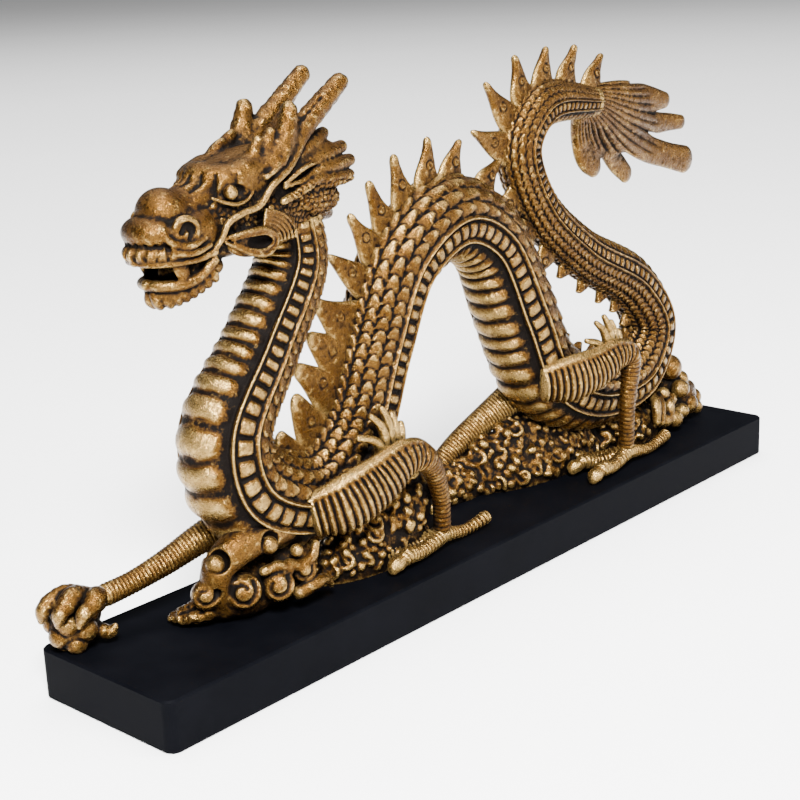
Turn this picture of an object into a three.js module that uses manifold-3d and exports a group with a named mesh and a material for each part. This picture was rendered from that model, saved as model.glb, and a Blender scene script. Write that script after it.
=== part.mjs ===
// A serpent dragon cast in one piece, standing on a plain rectangular plinth.
// Millimetres, +Z up. The origin is the middle of the plinth's underside.
// The head looks towards -X, the tail trails towards +X, and y = 0 is the body's own plane.
import * as THREE from 'three';
import { mergeVertices } from 'three/addons/utils/BufferGeometryUtils.js';
import Module from 'manifold-3d';

// ---------------------------------------------------------------- driving dimensions
const PLINTH_LENGTH = 300;
const PLINTH_WIDTH = 55;
const PLINTH_HEIGHT = 15;
const PLINTH_CORNER = 2.5;
const PLINTH_ARRIS = 0.6;

const PLATE_PITCH = 14; // belly plates along the body
const PLATE_STEP = 0.09; // how far a plate's free edge stands over the next, as a share of the radius
const SCALE_STEP = 0.05; // how far a flank scale stands in or out, as a share of the radius
const RAIL_STEP = 0.04;

const FIN_PITCH = 12.6; // measured along the back, not along the middle line
const FIN_HEIGHT = 12.5;
const FRONT_BEND_FIN_HEIGHT = 15.5;
const REAR_BEND_FIN_HEIGHT = 5;
const FIN_THICKNESS = 3.4;

const FIN_FIRST = 0.2; // share of the body's length where the first fin stands
const FIN_SINK = 0.93; // height of a fin's foot, as a share of the half thickness

const EYE_RADIUS = 2.2;
const BALL_RADIUS = 7.6;
const SHIN_RADIUS = 2.9;
const TOE_RADIUS = 2.1;
const LEG_RIB_PITCH = 9;
const LEG_RIB_DEPTH = 0.16; // as a share of the limb's radius

// The body's middle line from the nape to the tail's root: x, z, and the half thickness there.
const SPINE = [
  [-72, 125, 9.5], // nape
  [-72, 112, 11], // back of the neck
  [-86, 90, 12],
  [-101, 68, 14], // chest, its foremost point
  [-97, 52, 15],
  [-72, 42, 14], // lowest point of the front bend
  [-53, 54, 13],
  [-40, 80, 12.5],
  [-27, 104, 13],
  [-6, 114, 13.5], // top of the hump
  [14, 105, 13.5],
  [29, 78, 15],
  [42, 54, 15],
  [67, 40, 13.5], // lowest point of the rear bend
  [98, 41, 12.5],
  [110, 56, 11], // rear bend, its rearmost point
  [98, 74, 10],
  [65, 92, 8.6],
  [42, 111, 8],
  [33, 131, 8], // tail, its foremost point
  [43, 143, 8],
  [76, 142, 5], // root of the tail fan
];
const BODY_WIDTH_RATIO = 0.88;

// Legs from the body to the ankle: x, y, z, radius. The near side is -Y.
const NEAR_FRONT_LEG = [
  [-80, -10, 40, 6.5], [-72, -15, 42, 8.6], [-61, -18, 46, 8], [-49, -20, 51, 5.6],
  [-40, -19.5, 48, 4.2], [-31.5, -17.5, 34, SHIN_RADIUS], [-29, -15.5, 20, SHIN_RADIUS],
];
const NEAR_REAR_LEG = [
  [30, -10, 53, 6], [39, -14.5, 53.5, 8], [50, -17.5, 55, 7.4], [61, -19.5, 58, 5.4],
  [68, -20, 56, 4], [67.5, -19.5, 38, SHIN_RADIUS], [70, -17.5, 21, SHIN_RADIUS],
];
const FAR_FRONT_LEG = [
  [-92, 6, 40, 6], [-103, 11, 36, 4.6], [-114, 14, 31.5, 3.8], [-125, 16, 28.5, 3.3],
  [-136, 17.5, 27, 3.4],
];
const FAR_REAR_LEG = [[46, 8, 46, 7], [30, 13, 38, 5], [14, 15.5, 30.5, 4], [0, 16, 22.5, 3.2]];

// Each standing foot: its ankle, the tips of its toes on the ground as x, y, and its spur's tip.
const FEET = [
  { ankle: [-29, -15.5, 20.5], toes: [[-59, -11], [-56, -18.5], [-56, -4]], spur: [-7, -16.5, 19.5] },
  { ankle: [70, -17.5, 21], toes: [[48, -9], [44.5, -20.5], [50, -2]], spur: [99, -16, 19] },
  { ankle: [1, 16, 20.5], toes: [[-17, 11], [-18, 19]] },
];
const ELBOWS = [[-54, -16, 50], [60, -17, 56]];
const BALL_CENTRE = [-142, 18.8, PLINTH_HEIGHT + 6.2];

// Tail fan: where it starts, and each lobe's tip, bend and half width.
const FAN_ROOT = [72, 0, 142.5, 5.5];
const FAN_LOBES = [
  { tip: [113, -2, 139.5], bend: [96, -1, 141.5], width: 5.4 },
  { tip: [126, -1, 131], bend: [102, 0, 137], width: 5.4 },
  { tip: [134, 0, 116], bend: [106, 1, 128], width: 5.6 },
  { tip: [101, 5, 114.5], bend: [92, 3, 126], width: 5.2 },
  { tip: [80, 6, 119.5], bend: [76, 4, 130], width: 5.4 },
];

// Tips of the mane's locks on one side of the head.
const MANE_TIPS = [
  [-62, 6, 147.5], [-55.5, 7.5, 143], [-54, 9, 138], [-56, 10, 132.5], [-63, 9.5, 127],
];

// Cloud scrolls in front and cloud puffs behind: x, y, z, radius. Foam mounds: centre and half sizes.
const SCROLLS = [
  { at: [-108.5, 5, 22.5], radius: 5.2, lean: 0.9 },
  { at: [-102.5, -5, 24], radius: 4.6, lean: 0.7 },
  { at: [-94.5, -11.5, 24], radius: 3.8, lean: 0.4 },
  { at: [-92, -11, 33.5], radius: 4.2, lean: 0.3 },
];
const PUFFS = [[122, 1, 36, 8.5], [130, 1, 27, 8], [138, 3, 21, 6.5], [120, -7, 22, 8], [120, 9, 23, 9]];
const FOAM_MOUNDS = [
  { centre: [50, 7, 17], radii: [34, 15, 17] },
  { centre: [-50, -5, 17], radii: [24, 11, 17] },
  { centre: [94, 2, 18], radii: [24, 13, 14] },
];

const wasm = await Module();
wasm.setup();

// ---------------------------------------------------------------- helpers
const vec = (x, y, z) => new THREE.Vector3(x, y, z);
const SIDES = [-1, 1]; // near side, far side
const WELD = 1e-4; // vertices closer than this are one vertex

function toSolid(geometry) {
  const bare = new THREE.BufferGeometry();
  bare.setAttribute('position', geometry.getAttribute('position').clone());
  if (geometry.index) bare.setIndex(geometry.index.clone());
  const merged = mergeVertices(bare, WELD);
  const index = Array.from(merged.index.array);
  const kept = [];
  for (let i = 0; i < index.length; i += 3) {
    const [a, b, c] = [index[i], index[i + 1], index[i + 2]];
    if (a !== b && b !== c && c !== a) kept.push(a, b, c);
  }
  const mesh = new wasm.Mesh({
    numProp: 3,
    vertProperties: new Float32Array(merged.getAttribute('position').array),
    triVerts: new Uint32Array(kept),
  });
  return new wasm.Manifold(mesh);
}

function toGeometry(manifold) {
  const mesh = manifold.getMesh();
  const geometry = new THREE.BufferGeometry();
  const corners = new Float32Array(mesh.vertProperties);
  geometry.setAttribute('position', new THREE.BufferAttribute(corners, 3));
  geometry.setIndex(new THREE.BufferAttribute(new Uint32Array(mesh.triVerts), 1));
  geometry.computeVertexNormals();
  return geometry;
}

// A closed skin over a row of equal rings, each end closed by a fan to its own point.
function loft(rings, firstPoint, lastPoint) {
  const sides = rings[0].length;
  const points = rings.flat().concat([firstPoint, lastPoint]);
  const index = [];
  for (let i = 0; i + 1 < rings.length; i++) {
    for (let j = 0; j < sides; j++) {
      const k = (j + 1) % sides;
      const [a, b] = [i * sides + j, i * sides + k];
      const [c, d] = [a + sides, b + sides];
      index.push(a, c, b, b, c, d);
    }
  }
  const last = (rings.length - 1) * sides;
  for (let j = 0; j < sides; j++) {
    const k = (j + 1) % sides;
    index.push(points.length - 2, j, k);
    index.push(points.length - 1, last + k, last + j);
  }
  let volume = 0;
  for (let i = 0; i < index.length; i += 3) {
    const [a, b, c] = [points[index[i]], points[index[i + 1]], points[index[i + 2]]];
    volume += a.dot(b.clone().cross(c));
  }
  if (volume < 0) index.reverse();
  const geometry = new THREE.BufferGeometry();
  geometry.setFromPoints(points);
  geometry.setIndex(index);
  return geometry;
}

// A limb, lock, horn or claw: stations of [x, y, z, radius], with its section pressed to
// `flat` times its width along `flatAxis`, and ribbed every `rib` millimetres if asked.
function limb(stations, {
  sides = 5, steps = 0, flat = 1, flatAxis = vec(0, 1, 0), rib = 0, ribDepth = LEG_RIB_DEPTH,
} = {}) {
  const POINT = 0.6; // how far each end stands out, as a share of its radius
  const points = stations.map(([x, y, z]) => vec(x, y, z));
  const curve = new THREE.CatmullRomCurve3(points, false, 'centripetal');
  const last = stations.length - 1;
  const count = rib ? Math.max(4, 2 * Math.round(curve.getLength() / rib)) : steps || 2 * last;
  const rings = [];
  const centres = [];
  for (let i = 0; i <= count; i++) {
    const t = i / count;
    const place = Math.min(last - 1e-9, t * last);
    const k = Math.floor(place);
    const share = place - k;
    let radius = stations[k][3] * (1 - share) + stations[k + 1][3] * share;
    if (rib) radius *= i % 2 ? 1 : 1 - ribDepth;
    const centre = curve.getPoint(t);
    const along = curve.getTangent(t);
    const across = flatAxis.clone().addScaledVector(along, -flatAxis.dot(along)).normalize();
    const upward = across.clone().cross(along).normalize();
    const ring = [];
    for (let j = 0; j < sides; j++) {
      const angle = (2 * Math.PI * j) / sides;
      ring.push(centre.clone()
        .addScaledVector(across, Math.sin(angle) * radius * flat)
        .addScaledVector(upward, Math.cos(angle) * radius));
    }
    rings.push(ring);
    centres.push({ centre, along, radius });
  }
  const [first, end] = [centres[0], centres[count]];
  const firstPoint = first.centre.clone().addScaledVector(first.along, -POINT * first.radius);
  const lastPoint = end.centre.clone().addScaledVector(end.along, POINT * end.radius);
  return toSolid(loft(rings, firstPoint, lastPoint));
}

// The same limb on each side of the head.
function pair(stations, options) {
  return SIDES.map((side) => {
    const placed = stations.map(([x, y, z, radius]) => [x, side * y, z, radius]);
    return limb(placed, options);
  });
}

// An egg-shaped swelling, tilted about Y.
function swelling([x, y, z], [rx, ry, rz], { tilt = 0, wide = 7, high = 5 } = {}) {
  const geometry = new THREE.SphereGeometry(1, wide, high);
  geometry.scale(rx, ry, rz);
  geometry.rotateY(tilt);
  geometry.translate(x, y, z);
  return toSolid(geometry);
}

function join(solids) {
  return solids.reduce((sum, solid) => sum.add(solid));
}

// ---------------------------------------------------------------- body
const spinePoints = SPINE.map(([x, z]) => vec(x, 0, z));
const spineCurve = new THREE.CatmullRomCurve3(spinePoints, false, 'centripetal');
spineCurve.arcLengthDivisions = 1200;
const BODY_LENGTH = spineCurve.getLength();

// The place, direction, belly side and half thickness at a share u of the body's length.
function bodyAt(u) {
  const t = spineCurve.getUtoTmapping(u);
  const centre = spineCurve.getPoint(t);
  const along = spineCurve.getTangent(t);
  const belly = vec(0, 1, 0).cross(along).normalize();
  const place = Math.min(SPINE.length - 1 - 1e-9, t * (SPINE.length - 1));
  const k = Math.floor(place);
  const half = SPINE[k][2] + (SPINE[k + 1][2] - SPINE[k][2]) * (place - k);
  return { centre, along, belly, half };
}

// Section angles from the belly line: plates, lower rail, upper rail, scales, ridge.
const SECTION = [0, 36, 62, 92, 132, 180].map(THREE.MathUtils.degToRad);

function bodyRadiusFactor(row, isFreeEdge, plate) {
  if (row <= 1) return isFreeEdge ? 1.02 : 1.02 - PLATE_STEP;
  if (row <= 3) return 1 + RAIL_STEP;
  const raised = (plate + row + (isFreeEdge ? 1 : 0)) % 2 === 0;
  return raised ? 1 + SCALE_STEP : 1 - SCALE_STEP;
}

function bodyRing(u, isFreeEdge, plate) {
  const { centre, belly, half } = bodyAt(u);
  const side = vec(0, -1, 0);
  const rows = SECTION.map((angle, row) => ({ angle, row }));
  const farRows = rows.slice(1, -1).reverse().map(({ angle, row }) => ({ angle: -angle, row }));
  return rows.concat(farRows).map(({ angle, row }) => {
    const radius = half * bodyRadiusFactor(row, isFreeEdge, plate);
    return centre.clone()
      .addScaledVector(belly, Math.cos(angle) * radius)
      .addScaledVector(side, Math.sin(angle) * radius * BODY_WIDTH_RATIO);
  });
}

function body() {
  const plates = Math.round(BODY_LENGTH / PLATE_PITCH);
  const rings = [];
  for (let plate = 0; plate < plates; plate++) {
    rings.push(bodyRing((plate + 0.12) / plates, false, plate));
    rings.push(bodyRing((plate + 0.92) / plates, true, plate));
  }
  return toSolid(loft(rings, bodyAt(0).centre, bodyAt(1).centre));
}

// ---------------------------------------------------------------- dorsal fins
// A flame-shaped fin: a broad foot, a hollow back edge and a tip swept towards the tail.
function fin(u, height) {
  const { centre, along, belly, half } = bodyAt(u);
  const foot = 0.48 * height;
  const shape = new THREE.Shape();
  shape.moveTo(-foot, -0.35 * height);
  shape.lineTo(-0.8 * foot, 0.45 * height);
  shape.lineTo(0, height);
  shape.lineTo(0.45 * foot, 0.4 * height);
  shape.lineTo(foot, -0.35 * height);
  const geometry = new THREE.ExtrudeGeometry(shape, {
    depth: FIN_THICKNESS, bevelEnabled: false,
  });
  geometry.translate(0, 0, -FIN_THICKNESS / 2);
  const up = belly.clone().negate();
  const turn = new THREE.Matrix4().makeBasis(along, up, along.clone().cross(up));
  turn.setPosition(centre.clone().addScaledVector(up, FIN_SINK * half));
  geometry.applyMatrix4(turn);
  return toSolid(geometry);
}

// Fins stand along the back from the first bend on. They are tallest in the front bend, where
// their tips reach the neck, and shortest inside the rear bend.
function finHeight({ centre, half }) {
  if (centre.z < 98 && centre.x < -20) return FRONT_BEND_FIN_HEIGHT;
  if (centre.z < 98 && centre.x > 20) return REAR_BEND_FIN_HEIGHT;
  return FIN_HEIGHT * Math.min(1, half / 8);
}

function fins() {
  const SAMPLES = 600;
  const solids = [];
  let travelled = FIN_PITCH;
  let before = null;
  for (let i = 0; i <= SAMPLES; i++) {
    const u = FIN_FIRST + ((1 - FIN_FIRST) * i) / SAMPLES;
    const here = bodyAt(u);
    const back = here.centre.clone().addScaledVector(here.belly, -here.half);
    if (before) travelled += back.distanceTo(before);
    before = back;
    if (travelled < FIN_PITCH) continue;
    travelled -= FIN_PITCH;
    solids.push(fin(u, finHeight(here)));
  }
  return solids;
}

// ---------------------------------------------------------------- tail fan
// Rounded lobes that spread from the tail's root, each a flattened limb with a swollen end.
function tailFan() {
  return FAN_LOBES.map(({ tip, bend, width }) => limb(
    [FAN_ROOT, [...bend, width], [...tip, 0.75 * width]],
    { steps: 3, flat: 0.5 },
  ));
}

// ---------------------------------------------------------------- head
function nose() {
  const nostrilWing = [
    [-119, 8, 125.5, 1.6], [-116, 10, 124.5, 1.7], [-112.5, 10, 127.5, 1.7], [-115, 9.5, 130.5, 1.4],
  ];
  const upperLip = [
    [-126.5, 1.5, 122.3, 2], [-122.5, 7, 121.3, 2.1], [-116, 9.5, 121, 2], [-108.5, 9.5, 121.5, 1.6],
  ];
  return [
    swelling([-117.5, 0, 131], [9.2, 9.6, 8.2], { wide: 8, high: 5 }),
    swelling([-122, 0, 126], [8.4, 9.4, 5.4], { wide: 7, high: 4 }),
    swelling([-111, 0, 127.5], [12, 10, 7.5], { wide: 7, high: 4 }),
    ...pair(nostrilWing, { sides: 3, steps: 3 }),
    ...pair(upperLip, { sides: 4, steps: 4 }),
  ];
}

// The lower jaw with its fangs, and the curls of the beard round the chin.
function jaw() {
  const chinToThroat = [[-114, 0, 115, 5], [-106, 0, 119, 5], [-94, 0, 122.5, 6]];
  const solids = [
    swelling([-113.5, 0, 113.3], [12, 8.6, 3.8], { tilt: -0.12 }),
    limb(chinToThroat, { sides: 6, steps: 3, flat: 1.5 }),
    ...pair([[-118, 5.5, 116, 1.1], [-118.5, 6.4, 121, 1.8]], { sides: 4, steps: 1 }),
  ];
  const CURLS = 3;
  for (let i = 0; i < CURLS; i++) {
    const share = (i + 0.5) / CURLS;
    const x = -123 + 12 * share;
    const y = 3 + 5 * Math.sqrt(share);
    const z = 110.2 + 3 * share;
    const curl = [[x, 0.8 * y, z + 1.5, 1.7], [x + 0.8, y, z - 0.8, 1.2]];
    solids.push(...pair(curl, { sides: 4, steps: 1 }));
  }
  return solids;
}

// The brain case with the eyes under their brows, and the barbel that runs back over the cheek.
function skull() {
  const eyes = SIDES.map((side) => swelling(
    [-101.7, side * 10.6, 136],
    [EYE_RADIUS, EYE_RADIUS, EYE_RADIUS],
    { wide: 6, high: 4 },
  ));
  const brow = [
    [-105, 2, 139.5, 2.8], [-102.5, 7, 140.5, 3], [-98.5, 9.8, 140.5, 2.6], [-92, 10.5, 138, 2.2],
  ];
  const barbel = [
    [-109, 9.6, 121, 1.3], [-104, 11.5, 128, 1.4], [-95, 12.6, 131, 1.5],
    [-89, 12.6, 136, 1.5], [-81, 11.5, 140, 1.5], [-75, 9.5, 145, 1.2],
  ];
  return [
    swelling([-94, 0, 131.5], [19, 11.6, 12.5], { tilt: -0.08, wide: 8, high: 6 }),
    swelling([-79, 0, 133], [17, 11.5, 12.5], { wide: 8, high: 5 }),
    swelling([-98, 0, 123], [12, 11, 6.5]),
    ...eyes,
    ...pair(brow, { steps: 4 }),
    ...pair(barbel, { sides: 3, steps: 6 }),
  ];
}

// A drop-shaped ear on each side, with locks that spread behind it.
function ears() {
  const ear = [[-105, 10.8, 123.5, 1.2], [-97, 11.6, 123.5, 3.4], [-91, 11.6, 121.5, 3.8]];
  const solids = pair(ear, { sides: 6, steps: 2, flat: 0.55 });
  const LOCK_ANGLES = [-15, 45];
  for (const angle of LOCK_ANGLES.map(THREE.MathUtils.degToRad)) {
    const tip = [-91 + 9.5 * Math.cos(angle), 12, 122.5 + 9 * Math.sin(angle), 1.1];
    solids.push(...pair([[-90, 10, 123, 2.2], tip], { sides: 4, steps: 1 }));
  }
  return solids;
}

// Locks of the mane, swept back from the cheeks to a spiked edge behind the head.
function mane() {
  const solids = [limb([[-70, 0, 128, 6], [-58, 0, 123.5, 2]], { steps: 2 })];
  for (const [x, y, z] of MANE_TIPS) {
    const root = [-84, 7.5, 0.6 * z + 54, 4];
    const middle = [0.5 * (x - 82), y + 1, 0.75 * z + 34, 3.2];
    solids.push(...pair([root, middle, [x, y, z, 1]], { sides: 4, steps: 2 }));
  }
  return solids;
}

// Two long horns, a short prong in front of each, and a low bump in front of that.
function horns() {
  const horn = [[-84, 7, 141, 3.6], [-75, 7.4, 147.5, 3], [-65, 7.4, 155, 2.6], [-56, 7.4, 162.2, 2.2]];
  const prong = [[-86, 8, 141, 3.2], [-80, 8.6, 147, 2.6], [-78, 8.8, 156, 1.9]];
  const bump = [[-95, 6, 143, 2.6], [-86, 7, 147.5, 1.8]];
  return [
    ...pair(horn, { sides: 6, steps: 3 }),
    ...pair(prong, { steps: 2 }),
    ...pair(bump, { steps: 1 }),
  ];
}

function head() {
  return [...skull(), ...nose(), ...jaw(), ...ears(), ...mane(), ...horns()];
}

// ---------------------------------------------------------------- legs
// Toes with claws in front of the ankle and, on most feet, one ringed spur behind it.
function foot({ ankle: [x, y, z], toes, spur }) {
  const floor = PLINTH_HEIGHT;
  const solids = toes.map(([tx, ty]) => limb([
    [x, y, z - 1, 2.6],
    [x + 0.5 * (tx - x), y + 0.6 * (ty - y), floor + 3.4, TOE_RADIUS],
    [x + 0.82 * (tx - x), y + 0.9 * (ty - y), floor + 3.8, TOE_RADIUS],
    [tx, ty, floor + 0.8, 0.9],
  ], { sides: 4, steps: 3 }));
  if (spur) {
    const middle = [0.5 * (x + spur[0]), y, floor + 2, 1.9];
    solids.push(limb([[x, y, z - 1, 2.4], middle, [...spur, 1.8]], { rib: LEG_RIB_PITCH }));
  }
  return solids;
}

// Two flame locks stand behind each near elbow.
function elbowTuft([x, y, z]) {
  return [0, 2].map((i) => limb([
    [x + 4 * i - 4, y, z, 2.6],
    [x + 5 * i - 3, y - 0.5, z + 9, 2.2],
    [x + 6 * i - 4, y, z + 17 - 2 * i, 0.9],
  ], { sides: 4, steps: 2, flat: 0.6 }));
}

function legs() {
  const thick = { rib: LEG_RIB_PITCH };
  const pressed = { rib: LEG_RIB_PITCH, flat: 0.7 };
  return [
    limb(NEAR_FRONT_LEG, pressed),
    limb(NEAR_REAR_LEG, pressed),
    limb(FAR_FRONT_LEG, thick),
    limb(FAR_REAR_LEG, thick),
    ...FEET.flatMap(foot),
    ...ELBOWS.flatMap(elbowTuft),
  ];
}

// The far front claw grips a ball.
function grippedBall() {
  const [x, y, z] = BALL_CENTRE;
  const FINGER_ANGLES = [140, 185, 230];
  const fingers = FINGER_ANGLES.map((degrees) => {
    const angle = THREE.MathUtils.degToRad(degrees);
    const [dx, dy] = [Math.cos(angle), Math.sin(angle)];
    return limb([
      [-136, 17, 28, 3],
      [x + 2.5 * dx, y + 4 * dy, z + 10, 2.4],
      [x + 5.2 * dx, y + 7.5 * dy, z + 6.5, 2],
      [x + 6 * dx, y + 8.5 * dy, z + 0.5, 0.8],
    ], { sides: 4, steps: 3 });
  });
  const ball = swelling(BALL_CENTRE, [BALL_RADIUS, BALL_RADIUS, BALL_RADIUS], { wide: 8, high: 5 });
  return [ball, ...fingers];
}

// ---------------------------------------------------------------- clouds, foam and ground
// A scroll: a domed disc with a raised spiral that turns into its middle.
function scroll({ at: [x, y, z], radius, lean }) {
  const face = vec(-Math.sin(lean), -Math.cos(lean), 0.35).normalize();
  const across = vec(-face.y, face.x, 0).normalize();
  const up = face.clone().cross(across).normalize();
  const TURNS = 1.25;
  const STEPS = 5;
  const stations = [];
  for (let i = 0; i <= STEPS; i++) {
    const share = i / STEPS;
    const angle = 2 * Math.PI * TURNS * share;
    const reach = radius * (0.85 - 0.6 * share);
    const point = vec(x, y, z)
      .addScaledVector(across, Math.cos(angle) * reach)
      .addScaledVector(up, Math.sin(angle) * reach)
      .addScaledVector(face, radius * (0.35 + 0.25 * share));
    stations.push([point.x, point.y, point.z, radius * (0.34 - 0.08 * share)]);
  }
  return [
    swelling([x, y, z], [radius, radius, radius], { wide: 6, high: 4 }),
    limb(stations, { sides: 3, steps: 6, flatAxis: face }),
  ];
}

function frontClouds() {
  return [
    swelling([-98, -1, 35], [13, 11, 7], { tilt: 0.2 }),
    swelling([-101, 0, 23], [17, 11, 9.5]),
    swelling([-84, -3, 24], [14, 12, 10]),
    limb([[-104, 4, 20, 6], [-115, 11, 17.5, 3]], { steps: 3 }),
    ...SCROLLS.flatMap(scroll),
    limb([[-88, -10, 22, 4.5], [-78, -13, 24, 3.4], [-74, -10, 27, 2]], { steps: 4 }),
  ];
}

function rearClouds() {
  return PUFFS.map(([x, y, z, r]) => swelling([x, y, z], [r, r, r], { wide: 7, high: 5 }));
}

// Foam: a mound whose skin is raised into round bubbles.
function foamMound({ centre, radii }) {
  const BUBBLES_ROUND = 12;
  const BUBBLES_UP = 6;
  const BUBBLE_HEIGHT = 0.07;
  const geometry = new THREE.SphereGeometry(1, 12, 5);
  const position = geometry.getAttribute('position');
  const point = new THREE.Vector3();
  for (let i = 0; i < position.count; i++) {
    point.fromBufferAttribute(position, i);
    const around = Math.atan2(point.z, point.x);
    const upward = Math.asin(THREE.MathUtils.clamp(point.y, -1, 1));
    const level = Math.cos(upward);
    const bubble = Math.cos(BUBBLES_ROUND * around) * Math.cos(BUBBLES_UP * upward) * level;
    point.multiplyScalar(1 + BUBBLE_HEIGHT * bubble);
    position.setXYZ(i, point.x, point.y, point.z);
  }
  geometry.rotateX(Math.PI / 2);
  geometry.scale(...radii);
  geometry.translate(...centre);
  return toSolid(geometry);
}

function ground() {
  return [
    ...FOAM_MOUNDS.map(foamMound),
    swelling([20, 15, 15.5], [24, 8, 6]),
  ];
}

// ---------------------------------------------------------------- the two pieces
function dragonSolid() {
  const whole = join([
    body(), ...fins(), ...tailFan(), ...head(), ...legs(), ...grippedBall(),
    ...frontClouds(), ...rearClouds(), ...ground(),
  ]);
  const below = new THREE.BoxGeometry(2 * PLINTH_LENGTH, 4 * PLINTH_WIDTH, 2 * PLINTH_HEIGHT);
  return whole.subtract(toSolid(below));
}

function plinthGeometry() {
  const halfLength = PLINTH_LENGTH / 2 - PLINTH_ARRIS;
  const halfWidth = PLINTH_WIDTH / 2 - PLINTH_ARRIS;
  const corner = PLINTH_CORNER;
  const outline = new THREE.Shape();
  outline.moveTo(-halfLength + corner, -halfWidth);
  outline.lineTo(halfLength - corner, -halfWidth);
  outline.absarc(halfLength - corner, -halfWidth + corner, corner, -Math.PI / 2, 0);
  outline.absarc(halfLength - corner, halfWidth - corner, corner, 0, Math.PI / 2);
  outline.absarc(-halfLength + corner, halfWidth - corner, corner, Math.PI / 2, Math.PI);
  outline.absarc(-halfLength + corner, -halfWidth + corner, corner, Math.PI, 1.5 * Math.PI);
  const geometry = new THREE.ExtrudeGeometry(outline, {
    depth: PLINTH_HEIGHT - 2 * PLINTH_ARRIS,
    bevelThickness: PLINTH_ARRIS,
    bevelSize: PLINTH_ARRIS,
    bevelSegments: 1,
    curveSegments: 4,
  });
  geometry.translate(0, 0, PLINTH_ARRIS);
  return toGeometry(toSolid(geometry));
}

const gold = new THREE.MeshStandardMaterial({ color: 0x96703a, roughness: 0.42, metalness: 0.75 });
const black = new THREE.MeshStandardMaterial({ color: 0x1a1b1d, roughness: 0.5, metalness: 0 });

const dragon = new THREE.Mesh(toGeometry(dragonSolid()), gold);
dragon.name = 'dragon';

const plinth = new THREE.Mesh(plinthGeometry(), black);
plinth.name = 'plinth';

const model = new THREE.Group();
model.add(plinth, dragon);

export default model;
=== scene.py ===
"""Looks of a cast dragon on its plinth: antique gold over black, on a pale floor.

Lengths are millimetres in the modelling code and become metres when a piece is made.
The head looks towards -X, the near side is -Y, and Z is up from the plinth's underside.
"""

import math

import bpy
import numpy as np
import openvdb
from mathutils import Matrix, Vector


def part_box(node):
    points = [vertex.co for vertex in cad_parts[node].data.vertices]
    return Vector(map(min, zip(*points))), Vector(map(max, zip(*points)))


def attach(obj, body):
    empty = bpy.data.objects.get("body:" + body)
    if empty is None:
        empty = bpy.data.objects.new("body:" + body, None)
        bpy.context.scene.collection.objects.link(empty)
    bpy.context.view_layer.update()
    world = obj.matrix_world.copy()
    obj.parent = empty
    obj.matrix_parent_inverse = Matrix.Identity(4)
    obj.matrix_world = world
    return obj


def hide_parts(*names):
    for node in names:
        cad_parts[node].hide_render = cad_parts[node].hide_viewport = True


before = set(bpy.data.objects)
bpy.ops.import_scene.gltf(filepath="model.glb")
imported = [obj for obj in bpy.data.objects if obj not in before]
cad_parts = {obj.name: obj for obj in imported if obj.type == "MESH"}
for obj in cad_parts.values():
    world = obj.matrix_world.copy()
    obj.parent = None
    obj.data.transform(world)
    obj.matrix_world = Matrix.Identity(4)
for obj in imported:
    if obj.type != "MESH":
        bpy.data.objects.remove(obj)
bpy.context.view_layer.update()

MM = 0.001
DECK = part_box("plinth")[1][2] / MM  # height of the plinth's top
SIDES = (-1, 1)  # near side, far side
Y_AXIS = np.array([0.0, 1.0, 0.0])
Z_AXIS = np.array([0.0, 0.0, 1.0])

# The body's middle line from the nape to the tail's root: x, y, z, and the half thickness there.
SPINE = [
    (-72, 0, 125, 9.5),  # nape
    (-72, 0, 112, 11),  # back of the neck
    (-86, 0, 90, 12),
    (-101, 0, 68, 14),  # chest, its foremost point
    (-97, 0, 52, 15),
    (-72, 0, 42, 14),  # lowest point of the front bend
    (-53, 0, 54, 13),
    (-40, 0, 80, 12.5),
    (-27, 0, 104, 13),
    (-6, 0, 114, 13.5),  # top of the hump
    (14, 0, 105, 13.5),
    (29, 0, 78, 15),
    (42, 0, 54, 15),
    (67, 0, 40, 13.5),  # lowest point of the rear bend
    (98, 0, 41, 12.5),
    (110, 0, 56, 11),  # rear bend, its rearmost point
    (98, 0, 74, 10),
    (65, 0, 92, 8.6),
    (42, 0, 111, 8),
    (33, 0, 131, 8),  # tail, its foremost point
    (43, 0, 143, 8),
    (76, 0, 142, 5),  # root of the tail fan
]
BODY_WIDTH_RATIO = 0.88  # across the body to its height

# Section angles in degrees from the belly line.
LOWER_RAIL = 61
UPPER_RAIL = 93
SCALE_COLUMNS = 4  # on each side, from the upper rail to the ridge

# Pitches along the body, as shares of the half thickness.
PLATE_PITCH = 0.42
BEAD_PITCH = 0.345
SCALE_PITCH = 0.41

ROW_STEP = 0.5  # along the body
SEAM_SHARES = (0.34, 0.67)  # of the body's length, where its skin passes from one piece to the next

FIN_PITCH = 12.6  # where the fins aren't placed one by one
FIN_HEIGHT = 12.5
FIN_REACH = 8.4  # how far a fin's foot runs towards the head
FRONT_BEND_FIN_REACH = 10.5
REAR_BEND_FIN_HEIGHT = 5
FIN_THICKNESS = 3.8

SHIN_RADIUS = 2.9
FINE_RING = 1.6  # pitch of the rings round the shins and toes
FAR_RING = 1.2  # pitch of the rings round the two far legs
COARSE_RING = 2.1  # pitch of the ribs that hang from the near thighs

GOLDEN_ANGLE = math.pi * (3 - math.sqrt(5))  # spreads bumps evenly over a ball


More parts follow.
